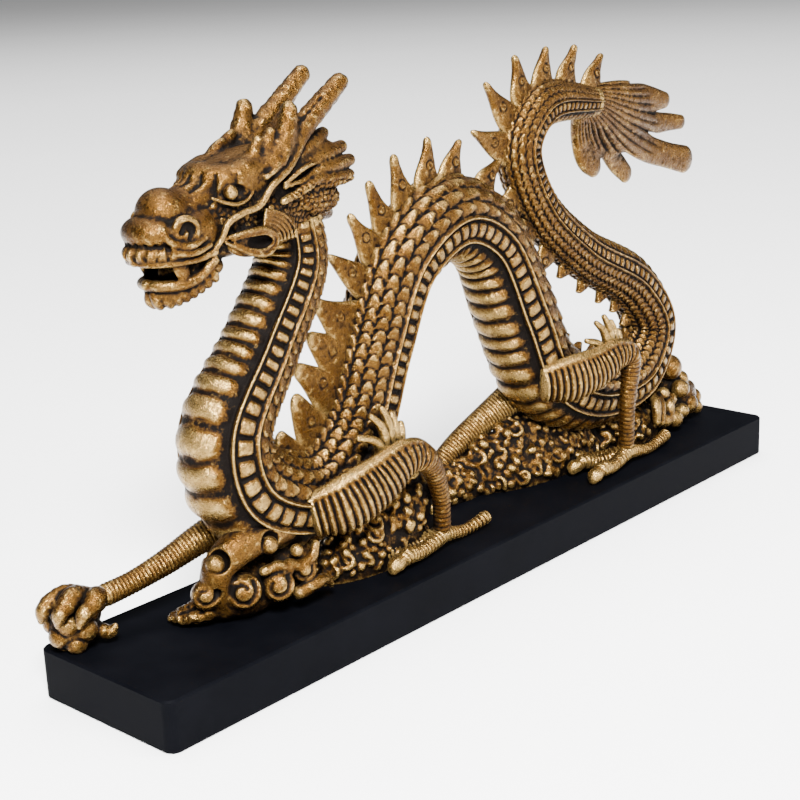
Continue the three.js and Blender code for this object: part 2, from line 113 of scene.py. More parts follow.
# ---------------------------------------- curves
def catmull_rom(stations, shares):
    """Centripetal spline through the rows of stations, whose first three columns are a place."""
    rows = np.asarray(stations, float)
    padded = np.vstack([2 * rows[0] - rows[1], rows, 2 * rows[-1] - rows[-2]])
    last = len(rows) - 1
    t = np.clip(np.asarray(shares, float) * last, 0, last - 1e-9)
    k = t.astype(int)
    w = (t - k)[:, None]
    p0, p1, p2, p3 = (padded[k + i] for i in range(4))

    def root_distance(a, b):
        return np.maximum(np.linalg.norm((b - a)[:, :3], axis=1, keepdims=True), 1e-6) ** 0.5

    d0, d1, d2 = root_distance(p0, p1), root_distance(p1, p2), root_distance(p2, p3)
    m1 = ((p1 - p0) / d0 - (p2 - p0) / (d0 + d1) + (p2 - p1) / d1) * d1
    m2 = ((p2 - p1) / d1 - (p3 - p1) / (d1 + d2) + (p3 - p2) / d2) * d1
    c2 = -3 * p1 + 3 * p2 - 2 * m1 - m2
    c3 = 2 * p1 - 2 * p2 + m1 + m2
    return p1 + m1 * w + c2 * w**2 + c3 * w**3


def sweep_line(stations, step):
    """Evenly spaced rows along the spline: distance run, rows and directions."""
    dense = catmull_rom(stations, np.linspace(0, 1, 80 * len(stations)))
    run = np.concatenate([[0], np.cumsum(np.linalg.norm(np.diff(dense[:, :3], axis=0), axis=1))])
    count = max(3, int(round(run[-1] / step)))
    distance = np.linspace(0, run[-1], count + 1)
    rows = np.stack([np.interp(distance, run, column) for column in dense.T], axis=1)
    along = np.gradient(rows[:, :3], axis=0)
    return distance, rows, along / np.linalg.norm(along, axis=1, keepdims=True)


def smooth_step(low, high, value):
    share = np.clip((value - low) / (high - low), 0, 1)
    return share * share * (3 - 2 * share)


def unit(vector):
    return vector / np.linalg.norm(vector, axis=-1, keepdims=True)


def transported_frames(along, start_up):
    """An up and a side direction for every row, turned as little as possible along the line."""
    up = np.empty_like(along)
    current = np.asarray(start_up, float)
    for i, direction in enumerate(along):
        current = unit(current - direction * (current @ direction))
        up[i] = current
    return up, np.cross(along, up)


# ---------------------------------------- meshes
FINE_PASSES = 8  # of smoothing, to find the fine relief
BROAD_PASSES = 36  # more of them, to find the broad relief


def ring_faces(rows, sides):
    """Quads of a skin over rows of closed rings."""
    i = np.arange(rows - 1)[:, None] * sides
    j = np.arange(sides)[None, :]
    k = (j + 1) % sides
    return np.stack([i + j, i + k, i + sides + k, i + sides + j], axis=-1).reshape(-1, 4)


def closed_skin(rings):
    """Points, quads and triangles of a skin over rings (rows, sides, 3), each end closed by a fan."""
    rows, sides = rings.shape[:2]
    ends = [rings[0].mean(axis=0), rings[-1].mean(axis=0)]
    points = np.concatenate([rings.reshape(-1, 3), ends])
    j = np.arange(sides)
    k = (j + 1) % sides
    last = (rows - 1) * sides
    first_fan = np.stack([np.full(sides, rows * sides), k, j], axis=1)
    last_fan = np.stack([np.full(sides, rows * sides + 1), last + j, last + k], axis=1)
    return points, ring_faces(rows, sides), np.concatenate([first_fan, last_fan])


def joined(skins):
    """Several closed skins as the points, quads and triangles of one mesh."""
    offset = 0
    points, quads, tris = [], [], []
    for p, q, t in skins:
        points.append(p)
        quads.append(q + offset)
        tris.append(t + offset)
        offset += len(p)
    return np.concatenate(points), np.concatenate(quads), np.concatenate(tris)


def triangle_corners(quads, tris):
    return np.concatenate([quads[:, [0, 1, 2]], quads[:, [0, 2, 3]], tris])


def facing_out(skin):
    """The skin with its faces turned outwards, which is where its volume is positive."""
    points, quads, tris = skin
    centred = points - points.mean(axis=0)
    a, b, c = (centred[corner] for corner in triangle_corners(quads, tris).T)
    if np.einsum("ij,ij->i", a, np.cross(b, c)).sum() < 0:
        quads, tris = quads[:, ::-1], tris[:, ::-1]
    return points, quads, tris


def directed_edges(quads, tris):
    pairs = [quads[:, [i, (i + 1) % 4]] for i in range(4)] + [tris[:, [i, (i + 1) % 3]] for i in range(3)]
    edges = np.concatenate(pairs)
    return np.concatenate([edges, edges[:, ::-1]])


def smoothed(points, edges, passes):
    """Points drawn part of the way towards the mean of their neighbours, several times over."""
    count = len(points)
    degree = np.maximum(np.bincount(edges[:, 0], minlength=count), 1)
    for _ in range(passes):
        sums = [np.bincount(edges[:, 0], points[edges[:, 1], axis], count) for axis in range(3)]
        points = 0.35 * points + 0.65 * np.stack(sums, axis=1) / degree[:, None]
    return points


def vertex_normals(points, quads, tris):
    corners = triangle_corners(quads, tris)
    a, b, c = (points[corner] for corner in corners.T)
    face = np.cross(b - a, c - a)
    total = np.zeros_like(points)
    for corner in corners.T:
        for axis in range(3):
            total[:, axis] += np.bincount(corner, face[:, axis], len(points))
    return total / np.maximum(np.linalg.norm(total, axis=1, keepdims=True), 1e-12)


def relief_of(points, quads, tris):
    """How far each vertex stands above its surroundings, in millimetres, at two widths."""
    edges = directed_edges(quads, tris)
    normals = vertex_normals(points, quads, tris)
    near = smoothed(points, edges, FINE_PASSES)
    far = smoothed(near, edges, BROAD_PASSES)
    fine = np.einsum("ij,ij->i", points - near, normals)
    broad = np.einsum("ij,ij->i", points - far, normals)
    return fine, broad


def thinned(piece, share):
    """Merges faces where the surface is plain until about `share` of them is left."""
    modifier = piece.modifiers.new("thin", "DECIMATE")
    modifier.ratio = share
    graph = bpy.context.evaluated_depsgraph_get()
    thick = piece.data
    evaluated = piece.evaluated_get(graph)
    thin = bpy.data.meshes.new_from_object(evaluated, preserve_all_data_layers=True, depsgraph=graph)
    piece.modifiers.clear()
    piece.data = thin
    bpy.data.meshes.remove(thick)
    thin.name = piece.name


def make_piece(name, skin, material, relief=None, normals=None, share=1.0):
    """A piece of the casting with its relief stored for the material to read."""
    points, quads, tris = skin
    fine, broad = relief or relief_of(points, quads, tris)
    mesh = bpy.data.meshes.new(name)
    mesh.vertices.add(len(points))
    mesh.vertices.foreach_set("co", (points * MM).astype(np.float32).ravel())
    loops = np.concatenate([quads.ravel(), tris.ravel()])
    totals = np.concatenate([np.full(len(quads), 4), np.full(len(tris), 3)])
    mesh.loops.add(len(loops))
    mesh.loops.foreach_set("vertex_index", loops.astype(np.int32))
    mesh.polygons.add(len(totals))
    starts = np.concatenate([[0], np.cumsum(totals)[:-1]])
    mesh.polygons.foreach_set("loop_start", starts.astype(np.int32))
    mesh.update(calc_edges=True)
    mesh.validate()
    mesh.shade_smooth()
    for label, values in (("relief", fine), ("hollow", broad)):
        attribute = mesh.attributes.new(label, "FLOAT", "POINT")
        attribute.data.foreach_set("value", values.astype(np.float32))
    if normals is not None:
        mesh.normals_split_custom_set_from_vertices(normals.tolist())
    piece = bpy.data.objects.new(name, mesh)
    bpy.context.scene.collection.objects.link(piece)
    mesh.materials.append(material)
    if share < 1:
        thinned(piece, share)
    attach(piece, "root")
    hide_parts("dragon")


# ---------------------------------------- modelling clay
FAR = 9.0  # distance that stands for anywhere well outside the clay


class Clay:
    """A block of voxels holding the distance to a modelled surface, negative inside."""

    def __init__(self, low, high, pitch):
        self.low = np.array(low, float)
        self.pitch = pitch
        self.count = np.ceil((np.array(high, float) - self.low) / pitch).astype(int) + 1
        self.field = np.full(self.count, FAR, np.float32)

    def window(self, low, high):
        first = np.clip(np.floor((np.asarray(low) - self.low) / self.pitch).astype(int), 0, self.count)
        last = np.clip(np.ceil((np.asarray(high) - self.low) / self.pitch).astype(int) + 1, 0, self.count)
        where = tuple(slice(a, max(a, b)) for a, b in zip(first, last))
        axes = [self.low[k] + self.pitch * np.arange(where[k].start, where[k].stop) for k in range(3)]
        return where, axes[0][:, None, None], axes[1][None, :, None], axes[2][None, None, :]

    def merge(self, where, distance, blend, cut):
        """Adds a shape to the clay, or cuts it out, with a fillet about `blend` wide."""
        old = self.field[where]
        if cut:
            old = -old
        share = np.clip(0.5 + 0.5 * (old - distance) / blend, 0, 1) if blend else distance < old
        result = old * (1 - share) + distance * share
        if blend:
            result = result - blend * share * (1 - share)
        self.field[where] = -result if cut else result

    def ball(self, centre, radii, tilt=0.0, blend=0.0, cut=False):
        """An ellipsoid, tilted about Y."""
        radii = np.broadcast_to(np.asarray(radii, float), 3)
        reach = radii.max() + blend + 4 * self.pitch
        centre = np.asarray(centre, float)
        where, x, y, z = self.window(centre - reach, centre + reach)
        dx, dy, dz = x - centre[0], y - centre[1], z - centre[2]
        u = math.cos(tilt) * dx - math.sin(tilt) * dz
        w = math.sin(tilt) * dx + math.cos(tilt) * dz
        k0 = np.sqrt((u / radii[0]) ** 2 + (dy / radii[1]) ** 2 + (w / radii[2]) ** 2)
        k1 = np.sqrt((u / radii[0] ** 2) ** 2 + (dy / radii[1] ** 2) ** 2 + (w / radii[2] ** 2) ** 2)
        self.merge(where, k0 * (k0 - 1) / np.maximum(k1, 1e-6), blend, cut)

    def rope(self, stations, side=1, blend=0.0, cut=False, flat=1.0, step=0.8, rib=0.0, depth=0.0):
        """A cord of clay through stations of x, y, z, radius, on one side, `flat` times as thick along Y."""
        if rib:
            step = rib / 4
        distance, rows, _ = sweep_line([(x, side * y, z, radius) for x, y, z, radius in stations], step)
        centres, radii = rows[:, :3], rows[:, 3].copy()
        if rib:
            radii *= 1 - depth * (0.5 + 0.5 * np.cos(2 * np.pi * distance / rib))
        reach = radii.max() + blend + 4 * self.pitch
        whole, *_ = self.window(centres.min(axis=0) - reach, centres.max(axis=0) + reach)
        origin = np.array([part.start for part in whole])
        local = np.full([part.stop - part.start for part in whole], FAR, np.float32)
        squeeze = 1 / flat - 1
        for a, b, ra, rb in zip(centres[:-1], centres[1:], radii[:-1], radii[1:]):
            where, x, y, z = self.window(np.minimum(a, b) - reach, np.maximum(a, b) + reach)
            if 0 in [part.stop - part.start for part in where]:
                continue
            dx, dy, dz = x - a[0], y - a[1], z - a[2]
            dy = dy + dy * squeeze
            span = b - a
            span[1] += span[1] * squeeze
            h = np.clip((dx * span[0] + dy * span[1] + dz * span[2]) / max(span @ span, 1e-9), 0, 1)
            d = np.sqrt((dx - span[0] * h) ** 2 + (dy - span[1] * h) ** 2 + (dz - span[2] * h) ** 2)
            d = (d - (ra + (rb - ra) * h)) * (0.5 + 0.5 * flat)
            inside = tuple(slice(w.start - o, w.stop - o) for w, o in zip(where, origin))
            local[inside] = np.minimum(local[inside], d)
        self.merge(whole, local, blend, cut)

    def roughen(self, low, high, amount, size):
        """Lumps about `size` wide over everything between two corners, fading out at its edges."""
        where, x, y, z = self.window(low, high)
        k = 2 * math.pi / size
        lumps = np.sin(k * x + 1.7 * np.sin(0.6 * k * z)) * np.sin(k * y + 1.3 * np.sin(0.7 * k * x + 1))
        lumps = lumps + 0.7 * np.sin(0.9 * k * z + 1.9 * np.sin(0.5 * k * y + 0.4 * k * x))
        fade = 1.0
        for axis, first, last in zip((x, y, z), low, high):
            fade = fade * smooth_step(first, first + 1.5, axis) * smooth_step(last, last - 1.5, axis)
        self.field[where] += amount * lumps * fade

    def skin(self, smallest=400):
        """The surface as points and quads, without crumbs."""
        field = self.field.copy()
        for axis in range(3):
            edge = [slice(None)] * 3
            for end in (0, -1):
                edge[axis] = end
                field[tuple(edge)] = np.maximum(field[tuple(edge)], self.pitch)
        grid = openvdb.FloatGrid(FAR)
        grid.copyFromArray(field)
        points, quads = grid.convertToQuads(0.0)
        points = points.astype(float) * self.pitch + self.low
        quads = quads.astype(int)
        keep = large_parts(len(points), quads, smallest)
        quads = quads[keep[quads[:, 0]]]
        used = np.zeros(len(points), bool)
        used[quads] = True
        number = np.cumsum(used) - 1
        return facing_out((points[used], number[quads], np.zeros((0, 3), int)))


def large_parts(count, quads, smallest):
    """Which vertices lie on a connected part with at least `smallest` vertices."""
    label = np.arange(count)
    edges = np.concatenate([quads[:, [0, 1]], quads[:, [1, 2]], quads[:, [2, 3]], quads[:, [3, 0]]])
    while True:
        low = np.minimum(label[edges[:, 0]], label[edges[:, 1]])
        before = label.copy()
        np.minimum.at(label, edges[:, 0], low)
        np.minimum.at(label, edges[:, 1], low)
        label = label[label]
        if (label == before).all():
            break
    sizes = np.bincount(label, minlength=count)
    return sizes[label] >= smallest


# ---------------------------------------- body
def body_line(step):
    distance, rows, along = sweep_line(SPINE, step)
    belly = unit(np.cross(Y_AXIS, along))
    return distance, rows[:, :3], rows[:, 3], along, belly


def phase_along(distance, half, pitch):
    """How many pitches have been run, where the pitch is a share of the half thickness."""
    rate = 1 / (pitch * half)
    return np.concatenate([[0], np.cumsum(0.5 * (rate[1:] + rate[:-1]) * np.diff(distance))])


def scale_outline(share):
    """Half width of a scale at a share of its length: a pointed arch."""
    share = np.clip(share, 0, 1)
    return 1.24 * np.sqrt(np.clip(1 - share**3, 0, 1)) * (1 - 0.22 * share)


def scale_height(phase, column):
    """Height from 0 to 1 of scales laid like tiles, each tip over its neighbours."""
    height = np.zeros(np.broadcast(phase, column).shape)
    for beside in (-1, 0, 1):
        j = np.floor(column) + beside
        across = 2 * (column - j) - 1
        f = phase - 0.5 * (j % 2)
        number = np.floor(f)
        f = f - number
        for shift in (0, 1):
            share = (f + shift) / 1.12
            uneven = 1 - 0.09 * np.modf(np.abs(np.sin((number - shift) * 12.9898 + j * 78.233) * 437.585))[0]
            margin = scale_outline(share) * uneven - np.abs(across)
            margin = np.minimum(margin, 3.4 * (1 - share))
            edge = smooth_step(0, 0.2, margin) * (share < 1)
            top = 0.42 + 0.58 * np.clip(share, 0, 1)
            height = np.maximum(height, edge * top * (1 - 0.16 * across**2))
    return height


def belly_cushion(distance, half, angle):
    """From 0 in the grooves between the belly plates to 1 on the middle of each."""
    a = np.abs(angle)[None, :]
    plate = phase_along(distance, half, PLATE_PITCH)[:, None]
    f = 2 * (plate - np.floor(plate)) - 1 + 0.07 * np.sin(a * 0.11 + 2.1 * np.floor(plate))
    return np.clip(1 - f**2, 0, 1) ** 0.75 * np.clip(1 - (a / 53) ** 8, 0, 1) ** 0.5


def section_angles():
    """Degrees from the belly line to the ridge, closest together at the two rails."""
    parts = [
        np.linspace(0, 54, 13)[:-1],
        np.linspace(54, 67, 12)[:-1],
        np.linspace(67, 87, 12)[:-1],
        np.linspace(87, 99, 11)[:-1],
        np.linspace(99, 180, 42),
    ]
    return np.concatenate(parts)


def body_height(distance, half, angle):
    """Relief in millimetres over the rows (distance) and the section angles (degrees)."""
    size = (half / 13)[:, None]
    a = np.abs(angle)[None, :]
    arc = half[:, None] * math.radians(1)
    slim = smooth_step(13.6, 12.2, half)
    bead = phase_along(distance, np.maximum(half, 8), BEAD_PITCH)[:, None]
    scale = phase_along(distance, half * (1 - 0.3 * slim), SCALE_PITCH)[:, None]

    height = smooth_step(60, 55, a) * size * (2.3 * belly_cushion(distance, half, angle) - 2.0)

    # beads between the rails
    channel = smooth_step(62.5, 65, a) * smooth_step(91.5, 89, a)
    g = np.abs(bead - np.floor(bead) - 0.5)
    across = np.abs(a - (LOWER_RAIL + UPPER_RAIL) / 2) / 10.8
    gap = 0.08 * slim[:, None]
    block = smooth_step(0.45 - gap, 0.36 - gap, g) * smooth_step(1.08, 0.86, across)
    dome = 1 - 0.9 * g**2 - 0.2 * across**2
    height = height + channel * size * (-1.35 + 1.95 * block * dome)

    for rail in (LOWER_RAIL, UPPER_RAIL):
        offset = (a - rail) * arc
        ridge = np.exp(-np.abs(offset / (0.68 * size)) ** 2.6)
        height = np.maximum(height, size * (1.75 * ridge - 0.85))

    first = UPPER_RAIL + 4.5
    column = (a - first) / (180 - first) * SCALE_COLUMNS
    flank = smooth_step(first - 1, first + 0.5, a)
    scales = size * (1.6 * scale_height(scale, np.clip(column, 0, SCALE_COLUMNS - 1e-6)) - 0.95)
    return height * (1 - flank) + flank * scales


def body_pieces(material):
    distance, centre, half, _, belly = body_line(ROW_STEP)
    near = section_angles()
    angle = np.concatenate([near, -near[1:-1][::-1]])
    sides = len(angle)
    height = body_height(distance, half, angle)
    radius = half[:, None] + height
    turn = np.radians(angle)[None, :, None]
    side = -Y_AXIS * BODY_WIDTH_RATIO
    outwards = belly[:, None, :] * np.cos(turn) + side * np.sin(turn)
    rings = centre[:, None, :] + radius[..., None] * outwards

    # relief and normals come from the whole skin, so that no seam shows where the pieces meet
    whole = facing_out(closed_skin(rings))
    fine, broad = relief_of(*whole)
    normals = vertex_normals(*whole)

    # on the belly the gold lies only on the middle of each plate, with wash all round it
    a = np.abs(angle)[None, :]
    # where the gold lies, which the material also brightens there as painted highlight through the hollow
    # attribute
    rubbed_gold_and_highlight = smooth_step(0.05, 0.8, belly_cushion(distance, half, angle)) * smooth_step(55, 30, a)
    under = smooth_step(60, 56, a)
    on_rings = broad[:height.size].reshape(height.shape)
    broad[:height.size] = (on_rings * (1 - 0.7 * under) + under * (0.9 * rubbed_gold_and_highlight - 0.5)).ravel()

    cuts = [0, *(int(share * len(rings)) for share in SEAM_SHARES), len(rings) - 1]
    for number, (first, last) in enumerate(zip(cuts[:-1], cuts[1:])):
        taken = slice(first * sides, (last + 1) * sides)
        fine_here, broad_here = (np.concatenate([values[taken], [0.0, 0.0]]) for values in (fine, broad))
        normals_here = np.concatenate([normals[taken], belly[[first, first]]])
        skin = facing_out(closed_skin(rings[first:last + 1]))
        make_piece(f"body_{number + 1}", skin, material, relief=(fine_here, broad_here), normals=normals_here)


# ---------------------------------------- dorsal fins
# Places of the fins' tips, x and z, from the chest to the hump and round the tail.
FIN_TIPS = [
    (-81, 63.5), (-74.5, 73), (-73.5, 81), (-67.5, 89.5), (-64, 98.5), (-57.5, 111), (-48, 121.5),
    (-39.5, 130), (-28, 136.5), (-12, 140), (3, 137.5),
]
TAIL_FIN_TIPS = [(9, 139), (16, 153.5), (31.5, 161), (48.5, 162.5), (64.5, 162), (80, 158)]

# Shares of the body's length between which the feet of those fins lie.
FIN_SHARES = (0.2, 0.6)
TAIL_FIN_SHARES = (0.78, 1.01)

FRONT_BEND_TOP = 100  # fins with their tips below it are long at the foot and blunt
REAR_BEND_TOP, REAR_BEND_START = 98, 20  # below and behind these the fins are low


def fin_height(centre, half):
    """Low inside the rear bend, and elsewhere in step with the body where it is slim."""
    if centre[2] < REAR_BEND_TOP and centre[0] > REAR_BEND_START:
        return REAR_BEND_FIN_HEIGHT
    return FIN_HEIGHT * min(1, half / 9)


def fin_skin(foot, along, up, height, reach, tip_half, slope):
    """A flame-shaped fin that leans towards the tail, with a small ring rivet on each face."""
    rise = np.linspace(0, 1, 36)
    across = np.linspace(-1, 1, 27)
    across = 0.5 * (across + np.sin(0.5 * np.pi * across))
    front = -reach * (1 - rise) ** slope * (1 + 0.35 * np.sin(np.pi * rise) ** 2) - tip_half
    back = 0.55 * reach * (1 - rise) ** 3 + tip_half
    front = front + 0.25 * np.sin(9 * rise + height)
    back = back + 0.25 * np.sin(8 * rise + 2 * height)
    close = np.sqrt(np.clip(1 - np.clip((rise - 0.9) / 0.1, 0, 1) ** 2, 0.0001, 1))
    middle, spread = 0.5 * (front + back), 0.5 * (back - front) * close
    x = middle[:, None] + spread[:, None] * across[None, :]
    z = (-0.3 + 1.3 * rise)[:, None] * height + 0 * x
    edge = np.sqrt(np.clip(1 - np.abs(across) ** 2.6, 0, 1))[None, :]
    thick = 0.5 * FIN_THICKNESS * edge * ((1 - 0.4 * rise) * close)[:, None]
    rivet_x, rivet_z = -0.22 * reach, 0.38 * height
    distance = np.hypot(x - rivet_x, z - rivet_z)
    ring = np.exp(-(((distance - 0.85) / 0.26) ** 2)) - 0.4 * np.exp(-(((distance - 1.5) / 0.3) ** 2))
    size = min(1, height / 10)
    thick = thick + 0.5 * size * ring * smooth_step(0.25, 0.6, edge)
    thick = thick + 0.1 * np.sin(2.1 * x + height) * np.sin(1.7 * z + 1) * edge
    thick[:, 0] = 0
    thick[:, -1] = 0

    def place(sign):
        return foot + along * x[..., None] + up * z[..., None] - Y_AXIS * (sign * thick)[..., None]

    near, far = place(1), place(-1)
    return facing_out(closed_skin(np.concatenate([near, far[:, ::-1][:, 1:-1]], axis=1)))


def fins(material):
    distance, centre, half, along, belly = body_line(ROW_STEP)
    ridge = centre - belly * (0.93 * half)[:, None]
    share = distance / distance[-1]
    skins, used = [], []
    for tips, (low, high) in ((FIN_TIPS, FIN_SHARES), (TAIL_FIN_TIPS, TAIL_FIN_SHARES)):
        for x, z in tips:
            gap = np.hypot(ridge[:, 0] - x, ridge[:, 2] - z) + 999 * ((share < low) | (share > high))
            i = int(np.argmin(gap))
            up = unit(np.array([x, 0, z]) - ridge[i])
            form = (FRONT_BEND_FIN_REACH, 1.8, 0.8) if z < FRONT_BEND_TOP else (FIN_REACH, 1.1, 1.1)
            skins.append(fin_skin(ridge[i], np.cross(Y_AXIS, up), up, gap[i], *form))
            used.append(distance[i])
    first, last = used[len(FIN_TIPS) - 1], used[len(FIN_TIPS)]
    count = int(round((last - first) / FIN_PITCH))
    for spot in np.linspace(first, last, count + 1)[1:-1]:
        i = int(np.argmin(np.abs(distance - spot)))
        height = fin_height(centre[i], half[i])
        reach = FIN_REACH * min(1, 0.3 + 0.7 * height / FIN_HEIGHT)
        skins.append(fin_skin(ridge[i], along[i], -belly[i], height, reach, 1.1, 1.1))
    make_piece("dorsal_fins", joined(skins), material, share=0.4)


# ---------------------------------------- tail fan
FAN_LOW, FAN_HIGH = (62, -8, 106), (142, 14, 152)
FAN_FLATNESS = 0.42
FAN_LOBES = [
    [(69, 0, 143.5, 4.6), (84, -1, 143.4, 5.2), (97, -1.5, 141.6, 5.4), (108, -1.5, 139.6, 4.8),
     (116.5, -2.5, 138.6, 3)],
    [(69, 0, 142, 4.6), (84, -1, 140, 5), (100, -1, 135, 5.4), (113, 0, 130.8, 4.2),
     (123, -0.5, 130, 3.3), (129, -1.5, 129.4, 2.7)],
    [(69, 0, 141, 4.6), (84, 0, 135.5, 5.4), (98, 1, 128, 6), (111, 1, 121.6, 5.2),
     (122, 0, 118, 4.8), (132.4, -1, 115.2, 5.2)],
    [(70, 1, 140, 4.4), (80, 3, 133.5, 5), (90, 4.5, 125.5, 5.2), (97, 5.5, 118.5, 4.4),
     (102.5, 5, 113.5, 3.6)],
    [(69, 1, 139.5, 4.6), (73.5, 4, 133, 5.4), (76.5, 5.5, 126, 5.2), (79, 5.5, 121.5, 4.8),
     (82.5, 5, 118.5, 4)],
]
COMB_X, COMB_Z = 60, 147  # where the comb lines spread from
COMB_PITCH = 3.6  # degrees from line to line
COMB_ENDS = {4: 48, 9: 50, 16: 60, 26: 66, 38: 42, 52: 27}  # degrees below level: how far the lines run


def tail_fan(material):
    """Flat lobes joined by a web and combed with fine lines that spread from the root."""
    clay = Clay(FAN_LOW, FAN_HIGH, 0.4)
    for lobe in FAN_LOBES:
        clay.rope(lobe, blend=1.6, flat=FAN_FLATNESS)
    for upper, lower in zip(FAN_LOBES[:-1], FAN_LOBES[1:]):
        web = 0.5 * (np.array(upper[:3]) + np.array(lower[:3]))
        clay.rope(web, blend=1.2, flat=FAN_FLATNESS)
    where, x, _, z = clay.window(FAN_LOW, FAN_HIGH)
    away = np.hypot(x - COMB_X, z - COMB_Z)
    angle = np.degrees(np.arctan2(COMB_Z - z, x - COMB_X))
    end = np.interp(angle, list(COMB_ENDS), list(COMB_ENDS.values()))
    line = 1 - np.abs(np.sin(math.pi * (angle + 0.8 * np.sin(0.13 * away)) / COMB_PITCH)) ** 0.45
    clay.field[where] += 1.1 * line * smooth_step(7, 12, away) * smooth_step(end, end - 7, away)
    make_piece("tail_fan", clay.skin(), material, share=0.8)


# ---------------------------------------- legs
NEAR_FRONT_LEG = [
    (-80, -10, 40, 6.5), (-72, -15, 42, 8.6), (-61, -18, 46, 8), (-49, -20, 51, 5.6),
    (-40, -19.5, 48, 4.2), (-31.5, -17.5, 34, SHIN_RADIUS), (-29, -15.5, 20, SHIN_RADIUS),
]
NEAR_REAR_LEG = [
    (30, -10, 53, 6), (39, -14.5, 53.5, 8), (50, -17.5, 55, 7.4), (61, -19.5, 58, 5.4),
    (68, -20, 56, 4), (67.5, -19.5, 38, SHIN_RADIUS), (70, -17.5, 21, SHIN_RADIUS),
]
FAR_FRONT_LEG = [
    (-92, 6, 40, 6), (-103, 11, 36, 4.6), (-114, 14, 31.5, 3.8), (-125, 16, 28.5, 3.3), (-136, 17.5, 27, 3.4),
]
FAR_REAR_LEG = [(46, 8, 46, 7), (30, 13, 38, 5), (14, 15.5, 30.5, 4), (0, 16, 22.5, 3.2)]
FEET = [
    {"ankle": (-29, -15.5, 20.5), "toes": [(-59, -11), (-56, -18.5), (-56, -4)], "spur": (-7, -16.5, 19.5)},
    {"ankle": (70, -17.5, 21), "toes": [(48, -9), (44.5, -20.5), (50, -2)], "spur": (99, -16, 19)},
    {"ankle": (1, 16, 20.5), "toes": [(-17, 11), (-18, 19)], "spur": None},
]
ELBOWS = [(-53, -16.5, 54), (59, -17.5, 59)]
LOCKS = [(-9, 6.5), (-5.5, 12), (-3, 13.5), (-1, 11), (1, 7)]  # lean and height of each lock behind an elbow


def ringed_limb(stations, ring=FINE_RING, depth=0.35, flat=1.0, fan=0.0, step=0.24, sides=52):
    """A limb with rings round it. On its first `fan` millimetres coarse ribs hang from a smooth rail."""
    distance, rows, along = sweep_line(stations, step)
    up, side = transported_frames(along, Z_AXIS)
    turn = np.linspace(0, 2 * np.pi, sides, endpoint=False)
    on_fan = smooth_step(fan, fan - 5, distance) if fan else np.zeros_like(distance)
    rate = on_fan / COARSE_RING + (1 - on_fan) / ring
    phase = np.concatenate([[0], np.cumsum(0.5 * (rate[1:] + rate[:-1]) * np.diff(distance))])
    groove = 1 - np.abs(np.sin(np.pi * phase)) ** 0.6
    plain = -depth * groove[:, None] + 0 * turn[None, :]
    rail = smooth_step(0.93, 0.98, np.cos(turn - 0.4))[None, :]
    hanging = -1.6 * groove[:, None] * (1 - rail) + 0.7 * rail
    relief = plain * (1 - on_fan[:, None]) + hanging * on_fan[:, None]
    end = (distance[-1] - distance) / np.maximum(rows[:, 3], 0.3)
    dome = np.sqrt(np.clip(1 - (1 - np.clip(end / 0.8, 0, 1)) ** 2, 0.0004, 1))[:, None]
    radius = (rows[:, 3][:, None] + relief) * dome
    pressed = flat * on_fan + 1 - on_fan if fan else np.full_like(distance, flat)
    upwards = up[:, None, :] * np.cos(turn)[None, :, None]
    sideways = side[:, None, :] * (pressed[:, None] * np.sin(turn)[None, :])[..., None]
    return facing_out(closed_skin(rows[:, None, :3] + radius[..., None] * (upwards + sideways)))


def foot_skins(ankle, toes, spur):
    """Toes with a high knuckle and a thick claw, and the spur that points backwards."""
    x, y, z = ankle
    skins = []
    for tip_x, tip_y in toes:
        dx, dy = tip_x - x, tip_y - y
        bend = (x + 0.45 * dx, y + 0.6 * dy, DECK + 3.2, 2.4)
        knuckle = (x + 0.72 * dx, y + 0.85 * dy, DECK + 4.3, 2.8)
        joint = (x + 0.84 * dx, y + 0.92 * dy, DECK + 3.4, 2.4)
        skins.append(ringed_limb([(x, y, z - 1, 2.9), bend, knuckle, joint], depth=0.6, sides=32))
        root = (x + 0.8 * dx, y + 0.9 * dy, DECK + 3.7, 2.1)
        swell = (x + 0.93 * dx, y + 0.97 * dy, DECK + 3, 2.5)
        skins.append(ringed_limb([root, swell, (tip_x, tip_y, DECK + 0.7, 1)], depth=0, sides=24, step=0.4))
    if spur:
        middle = (0.5 * (x + spur[0]), y, DECK + 2.6, 1.9)
        skins.append(ringed_limb([(x, y, z - 1, 2.7), middle, (*spur, 2.3)], depth=0.6, sides=32))
    return skins


def elbow_tuft(x, y, z):
    """Thick curved locks that rise behind the elbow."""
    skins = []
    for i, (lean, tall) in enumerate(LOCKS):
        root = x - 3 + 2.3 * i
        lock = [
            (root, y + 1.6, z - 2.5, 1.6), (root - 0.6, y, z + 0.3 * tall, 1.75),
            (root - 0.4 + 0.3 * lean, y + 0.3, z + 0.68 * tall, 1.6), (root + lean, y + 1.4, z + tall, 1),
        ]
        skins.append(ringed_limb(lock, depth=0, flat=0.85, sides=24, step=0.4))
    return skins


def legs(material):
    skins = [
        ringed_limb(NEAR_FRONT_LEG, flat=0.75, fan=44, sides=84),
        ringed_limb(NEAR_REAR_LEG, flat=0.75, fan=42, sides=84),
        ringed_limb(FAR_FRONT_LEG, ring=FAR_RING),
        ringed_limb(FAR_REAR_LEG, ring=FAR_RING),
    ]
    for foot in FEET:
        skins += foot_skins(**foot)
    for elbow in ELBOWS:
        skins += elbow_tuft(*elbow)
    make_piece("legs", joined(skins), material, share=0.45)


# ---------------------------------------- head
MANE_TIPS = [(-62, 6, 147), (-56.5, 7.5, 142.8), (-55, 9, 139), (-56.5, 10, 135)]


